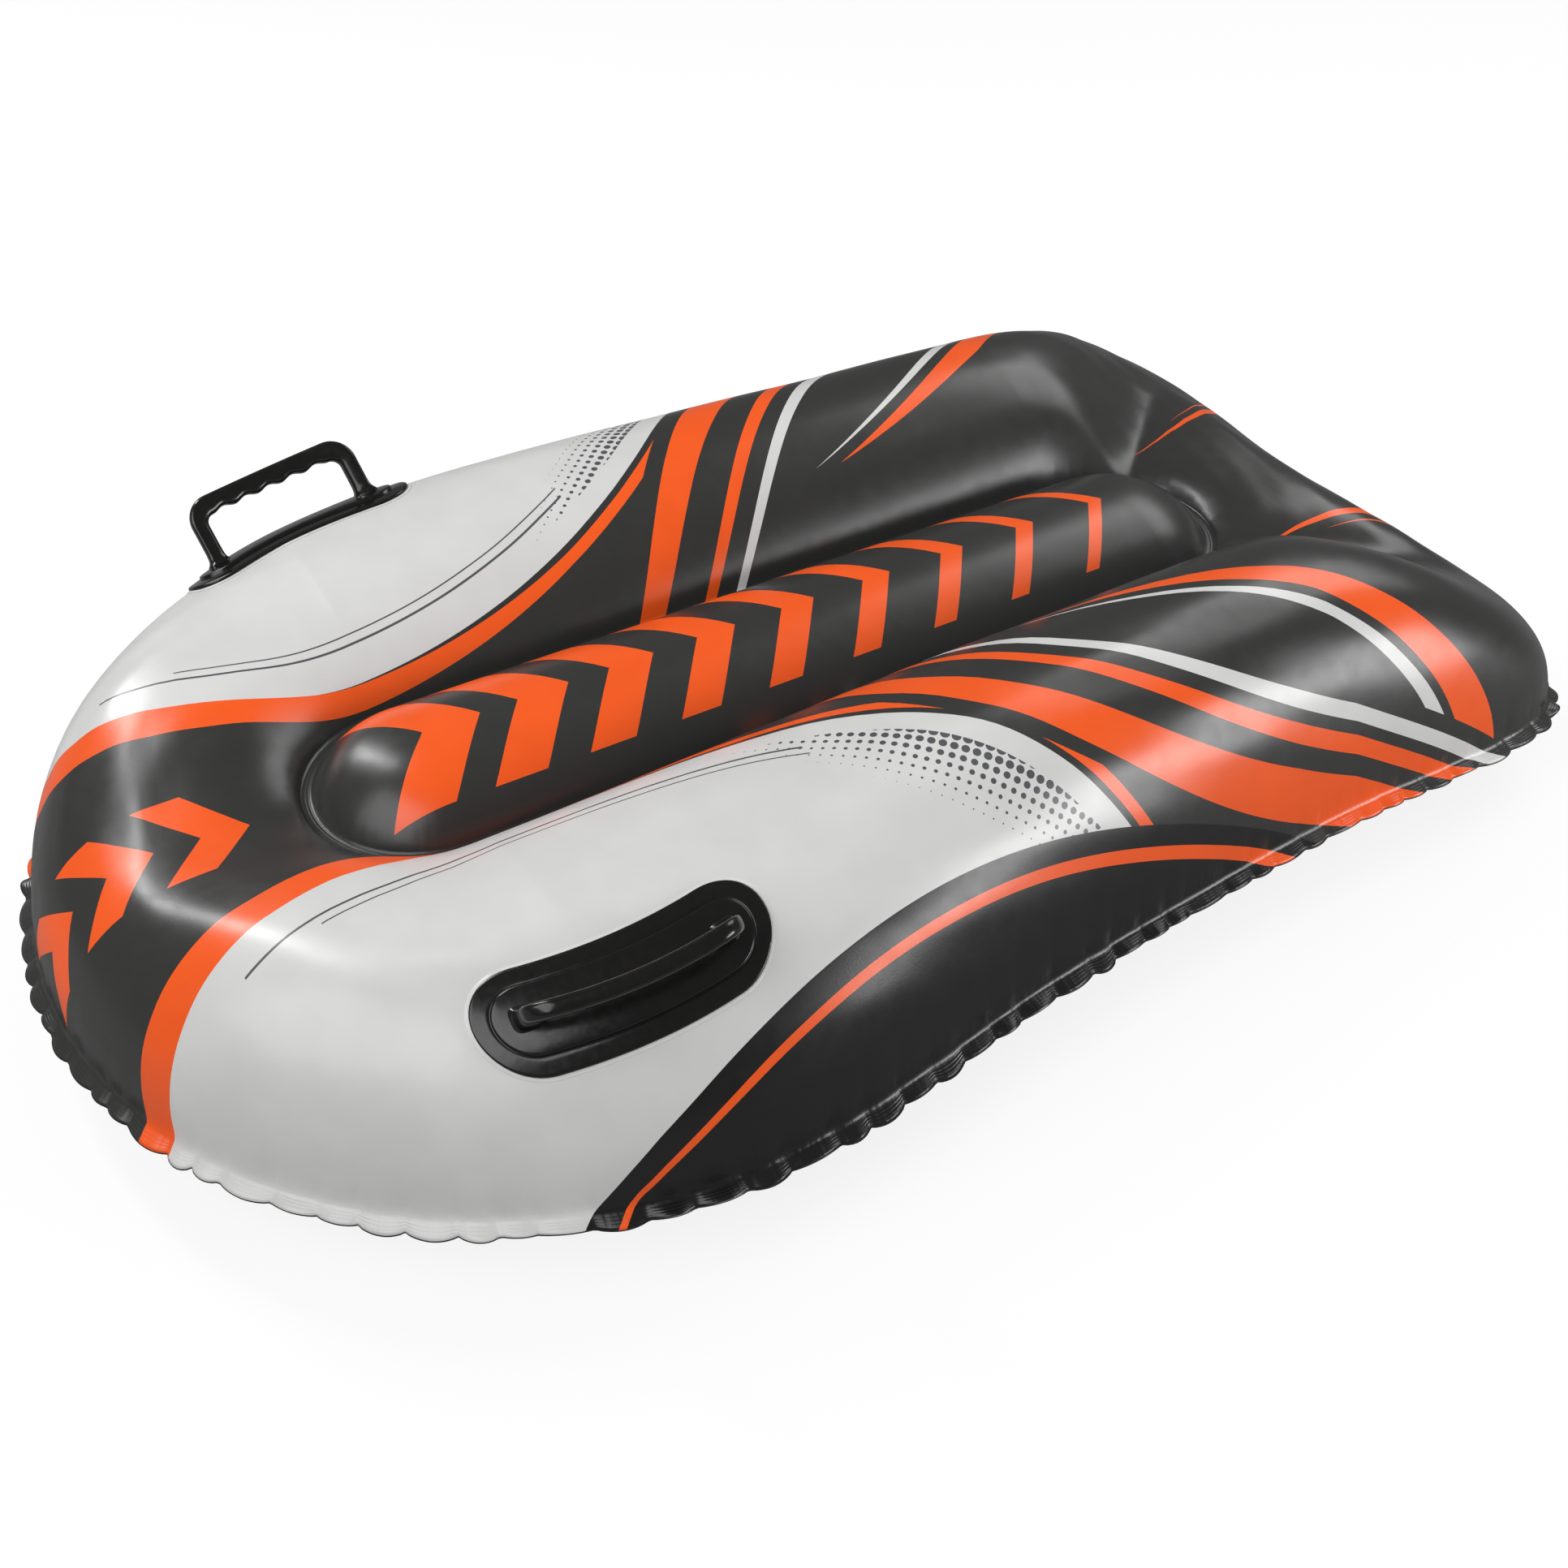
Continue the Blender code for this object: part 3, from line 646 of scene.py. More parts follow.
@dataclass(frozen=True)
class Circle(Bound):
    """A bound that is measured from the centre of a circle on the flat sheet."""

    centre: Pair
    radius: float

    def mask(self, flat: FlatPlace) -> Any:
        """Work out where the bound holds.

        Args:
            flat: The place on the flat sheet.

        Returns:
            A socket that is 1 where it holds.
        """
        links = {0: flat.place, 1: (*self.centre, 0)}
        away = add_node(flat.tree, "VectorMath", links, operation="DISTANCE").outputs["Value"]
        return self.held(flat, away)

    def held(self, flat: FlatPlace, away: Any) -> Any:
        """Work out where the bound holds, from the distance.

        Args:
            flat: The place on the flat sheet.
            away: The socket of its distance from the circle's centre.

        Returns:
            A socket that is 1 where it holds.
        """
        raise NotImplementedError


@dataclass(frozen=True)
class Within(Circle):
    """What lies inside a circle on the flat sheet, or outside it."""

    inside: bool = True

    def held(self, flat: FlatPlace, away: Any) -> Any:
        """Return a socket that is 1 inside the circle, or outside it."""
        kind = "LESS_THAN" if self.inside else "GREATER_THAN"
        return add_node(flat.tree, "Math", {0: away, 1: self.radius}, operation=kind).outputs[0]


@dataclass(frozen=True)
class Ring(Circle):
    """A stripe along a circle on the flat sheet, whose width may change over a taper along Y."""

    width: float
    far_width: float | None = None
    taper: Pair = (0.0, 1.0)

    def held(self, flat: FlatPlace, away: Any) -> Any:
        """Work out where the stripe lies.

        Args:
            flat: The place on the flat sheet.
            away: The socket of its distance from the circle's centre.

        Returns:
            A socket that is 1 on the stripe.
        """
        half: Any = self.width / 2
        if self.far_width is not None:
            first, last = self.taper
            links = {"Value": flat.axes[Axis.ALONG], "From Min": first, "From Max": last}
            links |= {"To Min": half, "To Max": self.far_width / 2}
            half = add_node(flat.tree, "MapRange", links).outputs["Result"]
        links = {0: away, 1: self.radius, 2: half}
        return add_node(flat.tree, "Math", links, operation="COMPARE").outputs[0]


@dataclass(frozen=True)
class Dots(Circle):
    """A screen of dots that shrink with the distance from a circle."""

    pitch: float
    fade: float
    fullest: float = 0.62
    turn: float = math.radians(45)
    cell_middle: Triple = (0.5, 0.5, 0)

    def held(self, flat: FlatPlace, away: Any) -> Any:
        """Work out where the dots lie.

        Args:
            flat: The place on the flat sheet.
            away: The socket of its distance from the circle's centre.

        Returns:
            A socket that is 1 on the dots.
        """
        scale = (1 / self.pitch, 1 / self.pitch, 0)
        links = {"Vector": flat.place, "Rotation": (0, 0, self.turn), "Scale": scale}
        turned = add_node(flat.tree, "Mapping", links).outputs[0]
        cell = add_node(flat.tree, "VectorMath", {0: turned}, operation="FRACTION").outputs[0]
        links = {0: cell, 1: self.cell_middle}
        off = add_node(flat.tree, "VectorMath", links, operation="DISTANCE").outputs["Value"]
        links = {"Value": away, "From Min": self.radius, "From Max": self.radius + self.fade}
        links |= {"To Min": self.fullest, "To Max": 0.0}
        size = add_node(flat.tree, "MapRange", links).outputs["Result"]
        return add_node(flat.tree, "Math", {0: off, 1: size}, operation="LESS_THAN").outputs[0]


@dataclass(frozen=True)
class Span(Bound):
    """What lies between two lines across or along the flat sheet."""

    axis: Axis
    low: float
    high: float

    def mask(self, flat: FlatPlace) -> Any:
        """Work out where the bound holds.

        Args:
            flat: The place on the flat sheet.

        Returns:
            A socket that is 1 between the lines.
        """
        middle, half = (self.low + self.high) / 2, (self.high - self.low) / 2
        links = {0: flat.axes[self.axis], 1: middle, 2: half}
        return add_node(flat.tree, "Math", links, operation="COMPARE").outputs[0]


@dataclass(frozen=True)
class Chevrons(Bound):
    """A row of V-shaped bars along the middle, whose stroke changes between the two limits."""

    pitch: float
    lean: float
    strokes: Pair
    limits: Pair

    def mask(self, flat: FlatPlace) -> Any:
        """Work out where the bound holds.

        Args:
            flat: The place on the flat sheet.

        Returns:
            A socket that is 1 on the bars.
        """
        tree = flat.tree
        links = {0: flat.axes[Axis.ACROSS], 1: self.lean, 2: flat.axes[Axis.ALONG]}
        slanted = add_node(tree, "Math", links, operation="MULTIPLY_ADD").outputs[0]
        links = {0: slanted, 1: self.pitch}
        saw = add_node(tree, "Math", links, operation="FLOORED_MODULO").outputs[0]
        first, last = self.limits
        links = {"Value": slanted, "From Min": first, "From Max": last}
        links |= {"To Min": self.strokes[0], "To Max": self.strokes[1]}
        stroke = add_node(tree, "MapRange", links).outputs["Result"]
        bars = add_node(tree, "Math", {0: saw, 1: stroke}, operation="LESS_THAN").outputs[0]
        links = {0: slanted, 1: (first + last) / 2, 2: (last - first) / 2}
        row = add_node(tree, "Math", links, operation="COMPARE").outputs[0]
        return add_node(tree, "Math", {0: bars, 1: row}, operation="MULTIPLY").outputs[0]


@dataclass(frozen=True)
class Motif:
    """One printed shape: an ink, and what bounds the shape."""

    ink: Ink
    bounds: tuple[Bound, ...]


NOSE_CIRCLE = (0.64, -0.36)
REAR_CIRCLE = (-0.25, 0.62)
SIDE_CIRCLE = (1.00, -0.06)
BLADE_CIRCLE = (0.95, -0.15)
TAIL_CIRCLE = (0.75, 0.36)
REAR_TAPER = (-0.1, 0.28)
BLADE_END = Within(REAR_CIRCLE, 0.674)
PANEL_END = Within(REAR_CIRCLE, 0.80, False)
PIN_LINE_END = Within(REAR_CIRCLE, 0.86, False)

LIVERY = (
    # The pale nose panels, with an orange border inside and a dot screen at their rear.
    Motif(Ink.PALE, (Within(NOSE_CIRCLE, 0.52), PANEL_END)),
    Motif(Ink.ORANGE, (Ring(NOSE_CIRCLE, 0.531, 0.010, 0.034, (-0.12, -0.60)), PANEL_END)),
    Motif(Ink.SLATE, (Dots(REAR_CIRCLE, 0.80, 0.0085, 0.085), Within(NOSE_CIRCLE, 0.50))),
    # Three stripes across the ring tube.
    Motif(Ink.ORANGE, (Ring(REAR_CIRCLE, 0.772, 0.020, 0.046, REAR_TAPER),)),
    Motif(Ink.ORANGE, (Ring(REAR_CIRCLE, 0.722, 0.008, 0.016, REAR_TAPER),)),
    Motif(Ink.PALE, (Ring(REAR_CIRCLE, 0.696, 0.005, 0.014, REAR_TAPER),)),
    # An orange and a pale blade on each side, and two at the tail.
    Motif(Ink.ORANGE, (Within((0.95, -0.05), 0.80), Within(BLADE_CIRCLE, 0.83, False), BLADE_END)),
    Motif(Ink.PALE, (Within(BLADE_CIRCLE, 0.82), Within((0.95, -0.19), 0.834, False), BLADE_END)),
    Motif(Ink.ORANGE, (Within((0.75, 0.42), 0.66), Within(TAIL_CIRCLE, 0.6645, False))),
    Motif(Ink.ORANGE, (Within(TAIL_CIRCLE, 0.655), Within((0.75, 0.33), 0.662, False))),
    # The black side panels, with an orange border, and pin lines on the pale ones.
    Motif(Ink.BLACK, (Within(SIDE_CIRCLE, 0.62),)),
    Motif(Ink.ORANGE, (Ring(SIDE_CIRCLE, 0.597, 0.004, 0.013, (-0.45, 0.25)),)),
    Motif(
        Ink.SLATE,
        (Ring(NOSE_CIRCLE, 0.487, 0.0022), PIN_LINE_END, Span(Axis.ALONG, -0.52, -0.1)),
    ),
    Motif(
        Ink.SLATE,
        (Ring(NOSE_CIRCLE, 0.478, 0.0014), PIN_LINE_END, Span(Axis.ALONG, -0.46, -0.1)),
    ),
    # The pillow is charcoal under a row of chevrons, and a second row stands on the nose.
    Motif(Ink.CHARCOAL, (Span(Axis.ACROSS, -0.0885, 0.0885), Span(Axis.ALONG, -0.31, 0.34))),
    Motif(
        Ink.ORANGE,
        (Chevrons(0.078, 0.85, (0.050, 0.012), (-0.32, 0.36)), Span(Axis.ACROSS, -0.058, 0.058)),
    ),
    Motif(
        Ink.ORANGE,
        (Chevrons(0.070, 0.85, (0.036, 0.036), (-0.65, -0.45)), Span(Axis.ACROSS, -0.046, 0.046)),
    ),
)


@dataclass(frozen=True)
class WeldedSheet(Finish):
    """Calendered PVC sheet that is welded at its edge and round the pillow, and inflated.

    Calendering leaves a satin face with a fine leathery grain. The weld's tool presses fine lines
    into the strips, and the pressure draws small gathers from them. The real grain is finer than
    the render can show, so it is drawn at 1.6 mm.
    """

    name: str
    gloss: Pair = (0.28, 0.33)
    base: str = "#1c1c1e"
    ior: float = 1.53
    cloud: float = 45 * MM
    drift_share: float = 0.03
    grain: float = 1.6 * MM
    grain_depth: float = 0.02 * MM
    ripple: float = 30 * MM
    ripple_detail: float = 0.5
    ripple_depth: float = 0.22 * MM
    gather: float = 6 * MM
    gather_detail: float = 1.5
    gather_length: float = 40 * MM
    gather_reach: float = 34 * MM
    gather_depth: float = 0.55 * MM
    line_pitch: float = 2.2 * MM
    line_depth: float = 0.05 * MM
    flange_pitches: Pair = (1.0, 4.5)
    strip_pitches: Pair = (0.5, 3.0)
    print_attribute: str = "print_place"
    seam_attribute: str = "seam_place"

    def waves(self, tree: bpy.types.NodeTree) -> Any:
        """Leave the slow ripple of a sheet of uneven thickness under air.

        Args:
            tree: The material's tree.

        Returns:
            The socket of its height.
        """
        place = add_node(tree, "TexCoord").outputs["Object"]
        links = {"Vector": place, "Scale": 1 / self.ripple, "Detail": self.ripple_detail}
        return add_node(tree, "TexNoise", links).outputs[0]

    def pressed_lines(self, tree: bpy.types.NodeTree, distance: Any, pitches: Pair) -> Any:
        """Press lines along a weld strip.

        Args:
            tree: The material's tree.
            distance: The socket of the distance from the weld, which is negative on the strip.
            pitches: How many pitches from the weld the lines start and end.

        Returns:
            The socket of the lines' height.
        """
        links = {0: distance, 1: 2 * math.pi / self.line_pitch}
        turn = add_node(tree, "Math", links, operation="MULTIPLY").outputs[0]
        wave = add_node(tree, "Math", {0: turn}, operation="SINE").outputs[0]
        first, last = pitches
        middle, half = -(first + last) / 2 * self.line_pitch, (last - first) / 2 * self.line_pitch
        links = {0: distance, 1: middle, 2: half}
        strip = add_node(tree, "Math", links, operation="COMPARE").outputs[0]
        return add_node(tree, "Math", {0: wave, 1: strip}, operation="MULTIPLY").outputs[0]

    def gathers(self, tree: bpy.types.NodeTree, seam: Any, inward: Any) -> Any:
        """Draw fine gathers from the seam.

        Args:
            tree: The material's tree.
            seam: The socket of the nearest place on the seam, with the distance from it as Z.
            inward: The socket of that distance.

        Returns:
            The socket of the gathers' height.
        """
        scale = (1 / self.gather, 1 / self.gather, 1 / self.gather_length)
        place = add_node(tree, "Mapping", {"Vector": seam, "Scale": scale}).outputs[0]
        links = {"Vector": place, "Scale": 1.0, "Detail": self.gather_detail}
        folds = add_node(tree, "TexNoise", links).outputs[0]
        links = {"Value": inward, "From Max": self.gather_reach, "To Min": 1.0, "To Max": 0.0}
        fade = add_node(tree, "MapRange", links, interpolation_type="SMOOTHERSTEP")
        links = {0: folds, 1: fade.outputs["Result"]}
        return add_node(tree, "Math", links, operation="MULTIPLY").outputs[0]

    def relief(self, tree: bpy.types.NodeTree) -> Any:
        """Lay the grain, the ripple, the gathers and the weld lines over each other.

        Args:
            tree: The material's tree.

        Returns:
            The socket of the bent normal.
        """
        seam = add_node(tree, "Attribute", attribute_name=self.seam_attribute).outputs["Vector"]
        inward = add_node(tree, "SeparateXYZ", {0: seam}).outputs["Z"]
        flat = add_node(tree, "Attribute", attribute_name=self.print_attribute).outputs["Vector"]
        from_weld = add_node(tree, "SeparateXYZ", {0: flat}).outputs["Z"]
        return self.raised(tree, (
            (self.waves(tree), self.ripple_depth),
            (self.gathers(tree, seam, inward), self.gather_depth),
            (self.pressed_lines(tree, inward, self.flange_pitches), self.line_depth),
            (self.pressed_lines(tree, from_weld, self.strip_pitches), self.line_depth),
            (self.leathery(tree, self.grain), self.grain_depth),
        ))

    def colour(self, tree: bpy.types.NodeTree) -> Any:
        """Return the sheet's colour, or its socket."""
        return linear(self.base)[:3]

    def build(self) -> bpy.types.Material:
        """Build the material.

        Returns:
            The material.
        """
        material, tree, shader = self.start(IOR=self.ior)
        colour = self.mottled(tree, self.colour(tree), self.cloud, self.drift_share)
        tree.links.new(colour, shader.inputs["Base Color"])
        gloss = self.drift(tree, self.cloud / 3, *self.gloss)
        tree.links.new(gloss, shader.inputs["Roughness"])
        tree.links.new(self.relief(tree), shader.inputs["Normal"])
        return material


@dataclass(frozen=True)
class PrintedSheet(WeldedSheet):
    """The top sheet, whose screen printed inks lie on it as crisp flat colours."""

    base: str = Ink.CHARCOAL.value
    motifs: tuple[Motif, ...] = LIVERY

    def colour(self, tree: bpy.types.NodeTree) -> Any:
        """Print the motifs one over the other.

        Args:
            tree: The material's tree.

        Returns:
            The socket of their colour.
        """
        printed = add_node(tree, "Attribute", attribute_name=self.print_attribute)
        raw = add_node(tree, "SeparateXYZ", {0: printed.outputs["Vector"]})
        across = add_node(tree, "Math", {0: raw.outputs["X"]}, operation="ABSOLUTE").outputs[0]
        place = add_node(tree, "CombineXYZ", {"X": across, "Y": raw.outputs["Y"]}).outputs[0]
        parts = add_node(tree, "SeparateXYZ", {0: place}).outputs
        flat = FlatPlace(tree, place, {Axis.ACROSS: parts["X"], Axis.ALONG: parts["Y"]})
        below: Any = linear(self.base)
        for motif in self.motifs:
            factor: Any = 1.0
            for bound in motif.bounds:
                links = {0: factor, 1: bound.mask(flat)}
                factor = add_node(tree, "Math", links, operation="MULTIPLY").outputs[0]
            links = {0: factor, MIX_UNDER: below, MIX_OVER: linear(motif.ink.value)}
            below = add_node(tree, "Mix", links, data_type="RGBA").outputs[MIX_RESULT]
        return below


@dataclass(frozen=True)
class Sheets:
    """Both welded sheets, with the gathers of their welds.

    The counts are of lines round the sled in each stretch of a section, and a crowding over 1 draws
    the lines together at the stretch's foot.
    """

    outline: Outline
    half_count: int = 560
    flange_steps: int = 5
    outer_lines: int = 32
    inner_lines: int = 21
    pillow_lines: int = 16
    bilge_lines: int = 22
    floor_lines: int = 7
    groove_lines: int = 9
    keel_lines: int = 8
    top_strip: int = 4
    bottom_strip: int = 3
    edge_crowding: float = 1.2
    valley_crowding: float = 1.15
    pillow_crowding: float = 1.25
    flange_droop: float = math.radians(28)
    bilge_slope: float = math.radians(58)
    seam_flare: float = 2.2 * MM
    flare_reach: float = 6 * MM
    edge_ruffle: Ruffle = Ruffle(0.020, 0.040, 11)
    pillow_ruffle: Ruffle = Ruffle(0.011, 0.020, 5, 0.9)
    edge_out: float = 2.6 * MM
    edge_middle: float = 1.1
    edge_up: float = 6.0 * MM
    edge_hang: float = 0.25
    seam_pull: float = 1.6 * MM
    pull_reach: float = 9 * MM
    gather_depth: float = 2.4 * MM
    gather_reach: float = 16 * MM
    gather_start: float = 4 * MM
    pucker_depth: float = 0.25 * MM
    pucker_reach: float = 13 * MM
    pucker_start: float = 3 * MM
    floor_band: float = 4 * MM
    swell: float = 0.35 * MM
    swell_waves: int = 6
    swell_seed: int = 3
    swell_turns: tuple[int, int] = (9, 26)
    swell_climb: float = 9.0
    strengths: tuple[Pair, ...] = (
        (0.0, 0.8), (0.12, 1.0), (0.3, 1.0), (0.5, 0.9), (0.65, 0.65), (0.8, 0.9), (0.88, 1.0),
        (1.0, 0.8),
    )

    def top_lines(self, spokes: Spokes) -> tuple[np.ndarray, np.ndarray, np.ndarray]:
        """Lay out the top sheet's section.

        Args:
            spokes: The spokes.

        Returns:
            Distances, heights, and the distance from the pillow's weld line over the sheet.
        """
        size = self.outline
        none = np.zeros_like(spokes.reach)
        seam = (spokes.reach, size.seam_height + size.touch_gap / 2 + size.sheet + none)
        crest = (size.ring_distance(spokes, size.crest_share), spokes.crest)
        valley = (size.pillow_width / 2 + none, size.valley_height + none)
        edge = (valley[0] - size.weld_line, valley[1])
        flange, droop = self.flange_lines()
        up = np.linspace(0, 1, self.outer_lines) ** self.edge_crowding
        down = np.linspace(1, 0, self.inner_lines)[1:] ** self.valley_crowding
        over = np.linspace(0, 1, self.pillow_lines) ** self.pillow_crowding
        outer = size.flank(seam, crest, size.seam_slope, up)
        inner = size.flank(valley, crest, size.valley_slope, down)
        strip = np.linspace(0, 1, self.top_strip)[1:-1, None] * size.weld_line
        pillow = size.flank(edge, (none, size.pillow_height + none), size.pillow_slope, over)
        distance = (seam[0] + flange, outer[0], inner[0], valley[0] - strip, pillow[0])
        height = (seam[1] - droop, outer[1], inner[1], valley[1] + 0 * strip, pillow[1])
        return self.stacked(distance, height, 3)

    def bottom_lines(self, spokes: Spokes) -> tuple[np.ndarray, np.ndarray, np.ndarray]:
        """Lay out the bottom sheet's section.

        Args:
            spokes: The spokes.

        Returns:
            Distances, heights, and the distance from the pillow's weld line over the sheet.
        """
        size = self.outline
        none = np.zeros_like(spokes.reach)
        seam = (spokes.reach, size.seam_height - size.touch_gap / 2 - size.sheet + none)
        floor_outer = (size.ring_distance(spokes, size.floor_outer_share), none)
        floor_inner = (size.ring_distance(spokes, size.floor_inner_share), none)
        groove = (size.pillow_width / 2 + none, size.groove_height + none)
        edge = (groove[0] - size.weld_line, groove[1])
        flange, droop = self.flange_lines()
        down = np.linspace(0, 1, self.bilge_lines) ** self.edge_crowding
        outer = size.flank(seam, floor_outer, self.bilge_slope, down)
        level = np.linspace(0, 1, self.floor_lines)[1:-1, None]
        floor = floor_outer[0] + (floor_inner[0] - floor_outer[0]) * level
        up = np.linspace(1, 0, self.groove_lines)
        inner = size.flank(groove, floor_inner, size.groove_slope, up)
        strip = np.linspace(0, 1, self.bottom_strip)[1:-1, None] * size.weld_line
        over = np.linspace(0, 1, self.keel_lines)
        keel = size.flank(edge, (none, size.keel_height + none), size.groove_slope, over)
        distance = (seam[0] + flange, outer[0], floor, inner[0], groove[0] - strip, keel[0])
        height = (seam[1] - droop, outer[1], 0 * floor, inner[1], groove[1] + 0 * strip, keel[1])
        return self.stacked(distance, height, 4)

    def flange_lines(self) -> tuple[np.ndarray, np.ndarray]:
        """Return how far the flange's lines lie outside the seam and below it, from the edge."""
        way = np.linspace(1, 0, self.flange_steps + 1)[:-1, None] * self.outline.flange
        return way * math.cos(self.flange_droop), way * math.sin(self.flange_droop)

    def stacked(
        self, distance: Sequence[np.ndarray], height: Sequence[np.ndarray], outside: int
    ) -> tuple[np.ndarray, np.ndarray, np.ndarray]:
        """Join the stretches of a section.

        Args:
            distance: The distances of each stretch, from the flange inward.
            height: Its heights.
            outside: How many stretches lie outside the pillow's weld line.

        Returns:
            All distances, all heights, and the distance from that line over the sheet, which is
            negative on the pillow.
        """
        weld_row = sum(len(stretch) for stretch in distance[:outside]) - 1
        all_distance, all_height = np.vstack(distance), np.vstack(height)
        steps = np.hypot(np.diff(all_distance, axis=0), np.diff(all_height, axis=0))
        inward = np.vstack((np.zeros_like(all_distance[:1]), np.cumsum(steps, axis=0)))
        return all_distance, all_height, inward[weld_row] - inward

    def puckers(self, spokes: Spokes, from_weld: np.ndarray) -> np.ndarray:
        """Pucker the sheet beside the pillow's weld.

        Args:
            spokes: The spokes.
            from_weld: The distance from the pillow's weld line over the sheet.

        Returns:
            How deep the sheet lies in a pucker at each of its points.
        """
        circle = np.full((1, len(spokes.run)), self.outline.pillow_width / 2)
        weld_points = spokes.points(circle, 0.0)[0]
        weld_steps = np.linalg.norm(np.roll(weld_points, -1, axis=0) - weld_points, axis=1)
        weld_run = np.concatenate(([0], np.cumsum(weld_steps)))
        lobe = self.pillow_ruffle.wave(weld_run[:-1], weld_run[-1])[0]
        from_strip = np.where(from_weld > 0, from_weld, -from_weld - self.outline.weld_line)
        fade = np.exp(-np.clip(from_strip, 0, None) / self.pucker_reach) * (from_strip > 0)
        return self.pucker_depth * (1 - lobe) * fade * np.clip(from_strip / self.pucker_start, 0, 1)

    def swelling(self, spokes: Spokes, middle: np.ndarray, face: Face) -> np.ndarray:
        """Let the ring tube swell unevenly.

        Args:
            spokes: The spokes.
            middle: The share of the way from the seam to the pillow's weld line at each point.
            face: The sheet.

        Returns:
            The sum of a few long waves at each point.
        """
        half = spokes.run[len(spokes.run) // 2]
        total = np.zeros_like(middle)
        draw = np.random.default_rng(self.swell_seed + face.value)
        for _ in range(self.swell_waves):
            waves, phase = draw.integers(*self.swell_turns), draw.uniform(0, 2 * np.pi)
            climb = draw.uniform(-self.swell_climb, self.swell_climb)
            turns = waves * spokes.run / (2 * half) + climb * middle
            total += np.sin(2 * np.pi * turns + phase)
        return total

    def gathered(
        self, spokes: Spokes, points: np.ndarray, from_weld: np.ndarray, face: Face
    ) -> np.ndarray:
        """Gather a sheet along both of its welds.

        Args:
            spokes: The spokes.
            points: The even sheet's points.
            from_weld: The distance from the pillow's weld line over the sheet.
            face: The sheet.

        Returns:
            The points of the gathered sheet.
        """
        half = spokes.run[len(spokes.run) // 2]
        strength = np.interp(spokes.share, *zip(*self.strengths))
        lobe, lean = self.edge_ruffle.wave(spokes.run, 2 * half)
        seam = from_weld[self.flange_steps]
        from_seam = seam - from_weld
        on_tube = np.clip(from_seam, 0, None)
        off_tube = np.clip(-from_seam / self.outline.flange, 0, 1)
        pull = (1 - lobe) * strength

        along_row = np.roll(points, -1, axis=1) - np.roll(points, 1, axis=1)
        down_row = np.gradient(points, axis=0)
        normal = np.cross(along_row, down_row) * face.value
        normal /= np.maximum(np.linalg.norm(normal, axis=2, keepdims=True), 1e-12)

        depth = -self.gather_depth * pull * np.exp(-on_tube / self.gather_reach)
        depth = depth * on_tube / (on_tube + self.gather_start)
        depth = depth - self.puckers(spokes, from_weld)
        middle = np.clip(on_tube / seam, 0, 1)
        swell = self.swell * self.swelling(spokes, middle, face) / 2 * np.sin(np.pi * middle)
        depth = depth + swell * (middle > 0) * (from_weld > 0)
        if face is Face.BOTTOM:
            on_floor = points[..., 2] < self.floor_band
            depth = np.where(on_floor, np.minimum(depth, 0), depth)

        outward = np.stack((*spokes.direction.T, 0 * spokes.hub), axis=-1)
        slip = off_tube * strength * self.edge_out * (2 * lobe - self.edge_middle)
        slip = slip - self.seam_pull * pull * np.exp(-on_tube / self.pull_reach)
        slip = slip + self.seam_flare * np.exp(-on_tube / self.flare_reach)
        lift = off_tube * strength * self.edge_up * (lobe * lean - self.edge_hang)
        moved = points + normal * depth[..., None] + outward * slip[..., None]
        moved[..., 2] += lift
        return moved

    def mesh(self, face: Face, name: str) -> bpy.types.Mesh:
        """Make one sheet's outer face.

        Args:
            face: The sheet.
            name: The mesh's name.

        Returns:
            The mesh, which knows each point's place on the flat sheet.
        """
        spokes = self.outline.loop(self.half_count)
        lines = self.top_lines if face is Face.TOP else self.bottom_lines
        distance, height, from_weld = lines(spokes)
        points = self.gathered(spokes, spokes.points(distance, height), from_weld, face)
        half_pillow = self.outline.pillow_width / 2
        shrink = np.where(from_weld < 0, half_pillow / -from_weld[-1], 1)
        flat = spokes.points(half_pillow + from_weld * shrink, from_weld)
        reach = np.broadcast_to(spokes.reach, distance.shape)
        mesh = grid_mesh(name, points, face is Face.TOP)
        vector_attribute(mesh, WeldedSheet.print_attribute, flat)
        seam = spokes.points(reach, from_weld[self.flange_steps] - from_weld)
        vector_attribute(mesh, WeldedSheet.seam_attribute, seam)
        with edited(mesh) as shape:
            bmesh.ops.remove_doubles(shape, verts=shape.verts, dist=SAME_POINT)
        mesh.shade_smooth()
        return mesh

    def build(self) -> list[bpy.types.Object]:
        """Make and dress both sheets.

        Returns:
            The top and the bottom sheet.
        """
        pieces = []
        for face, slot, printed, cut in (
            (Face.TOP, "printed_sheet", PrintedSheet("printed_pvc_sheet"), CUT_EDGE),
            (Face.BOTTOM, "dark_sheet", WeldedSheet("dark_pvc_sheet", (0.32, 0.42)), DARK_CUT_EDGE),
        ):
            word = face.name.lower()
            mesh = self.mesh(face, f"sheet_{word}")
            piece = new_piece(f"sheet_{word}", mesh, "sled", slot, f"{word}_skin")
            printed.put_on(piece)
            cut.put_on(piece)
            thickness = piece.modifiers.new("Thickness", "SOLIDIFY")
            thickness.thickness = self.outline.sheet
            thickness.offset = -1
            thickness.material_offset_rim = 1
            pieces.append(piece)
        return pieces

    def dress_web(self) -> None:
        """Give the inner web its finish, on the solid that the CAD model has."""
        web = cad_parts["inner_web"]
        web.data.materials.clear()
        WEB_SHEET.put_on(web)
        LOG.info("inner_web: %d faces as in the CAD model", len(web.data.polygons))


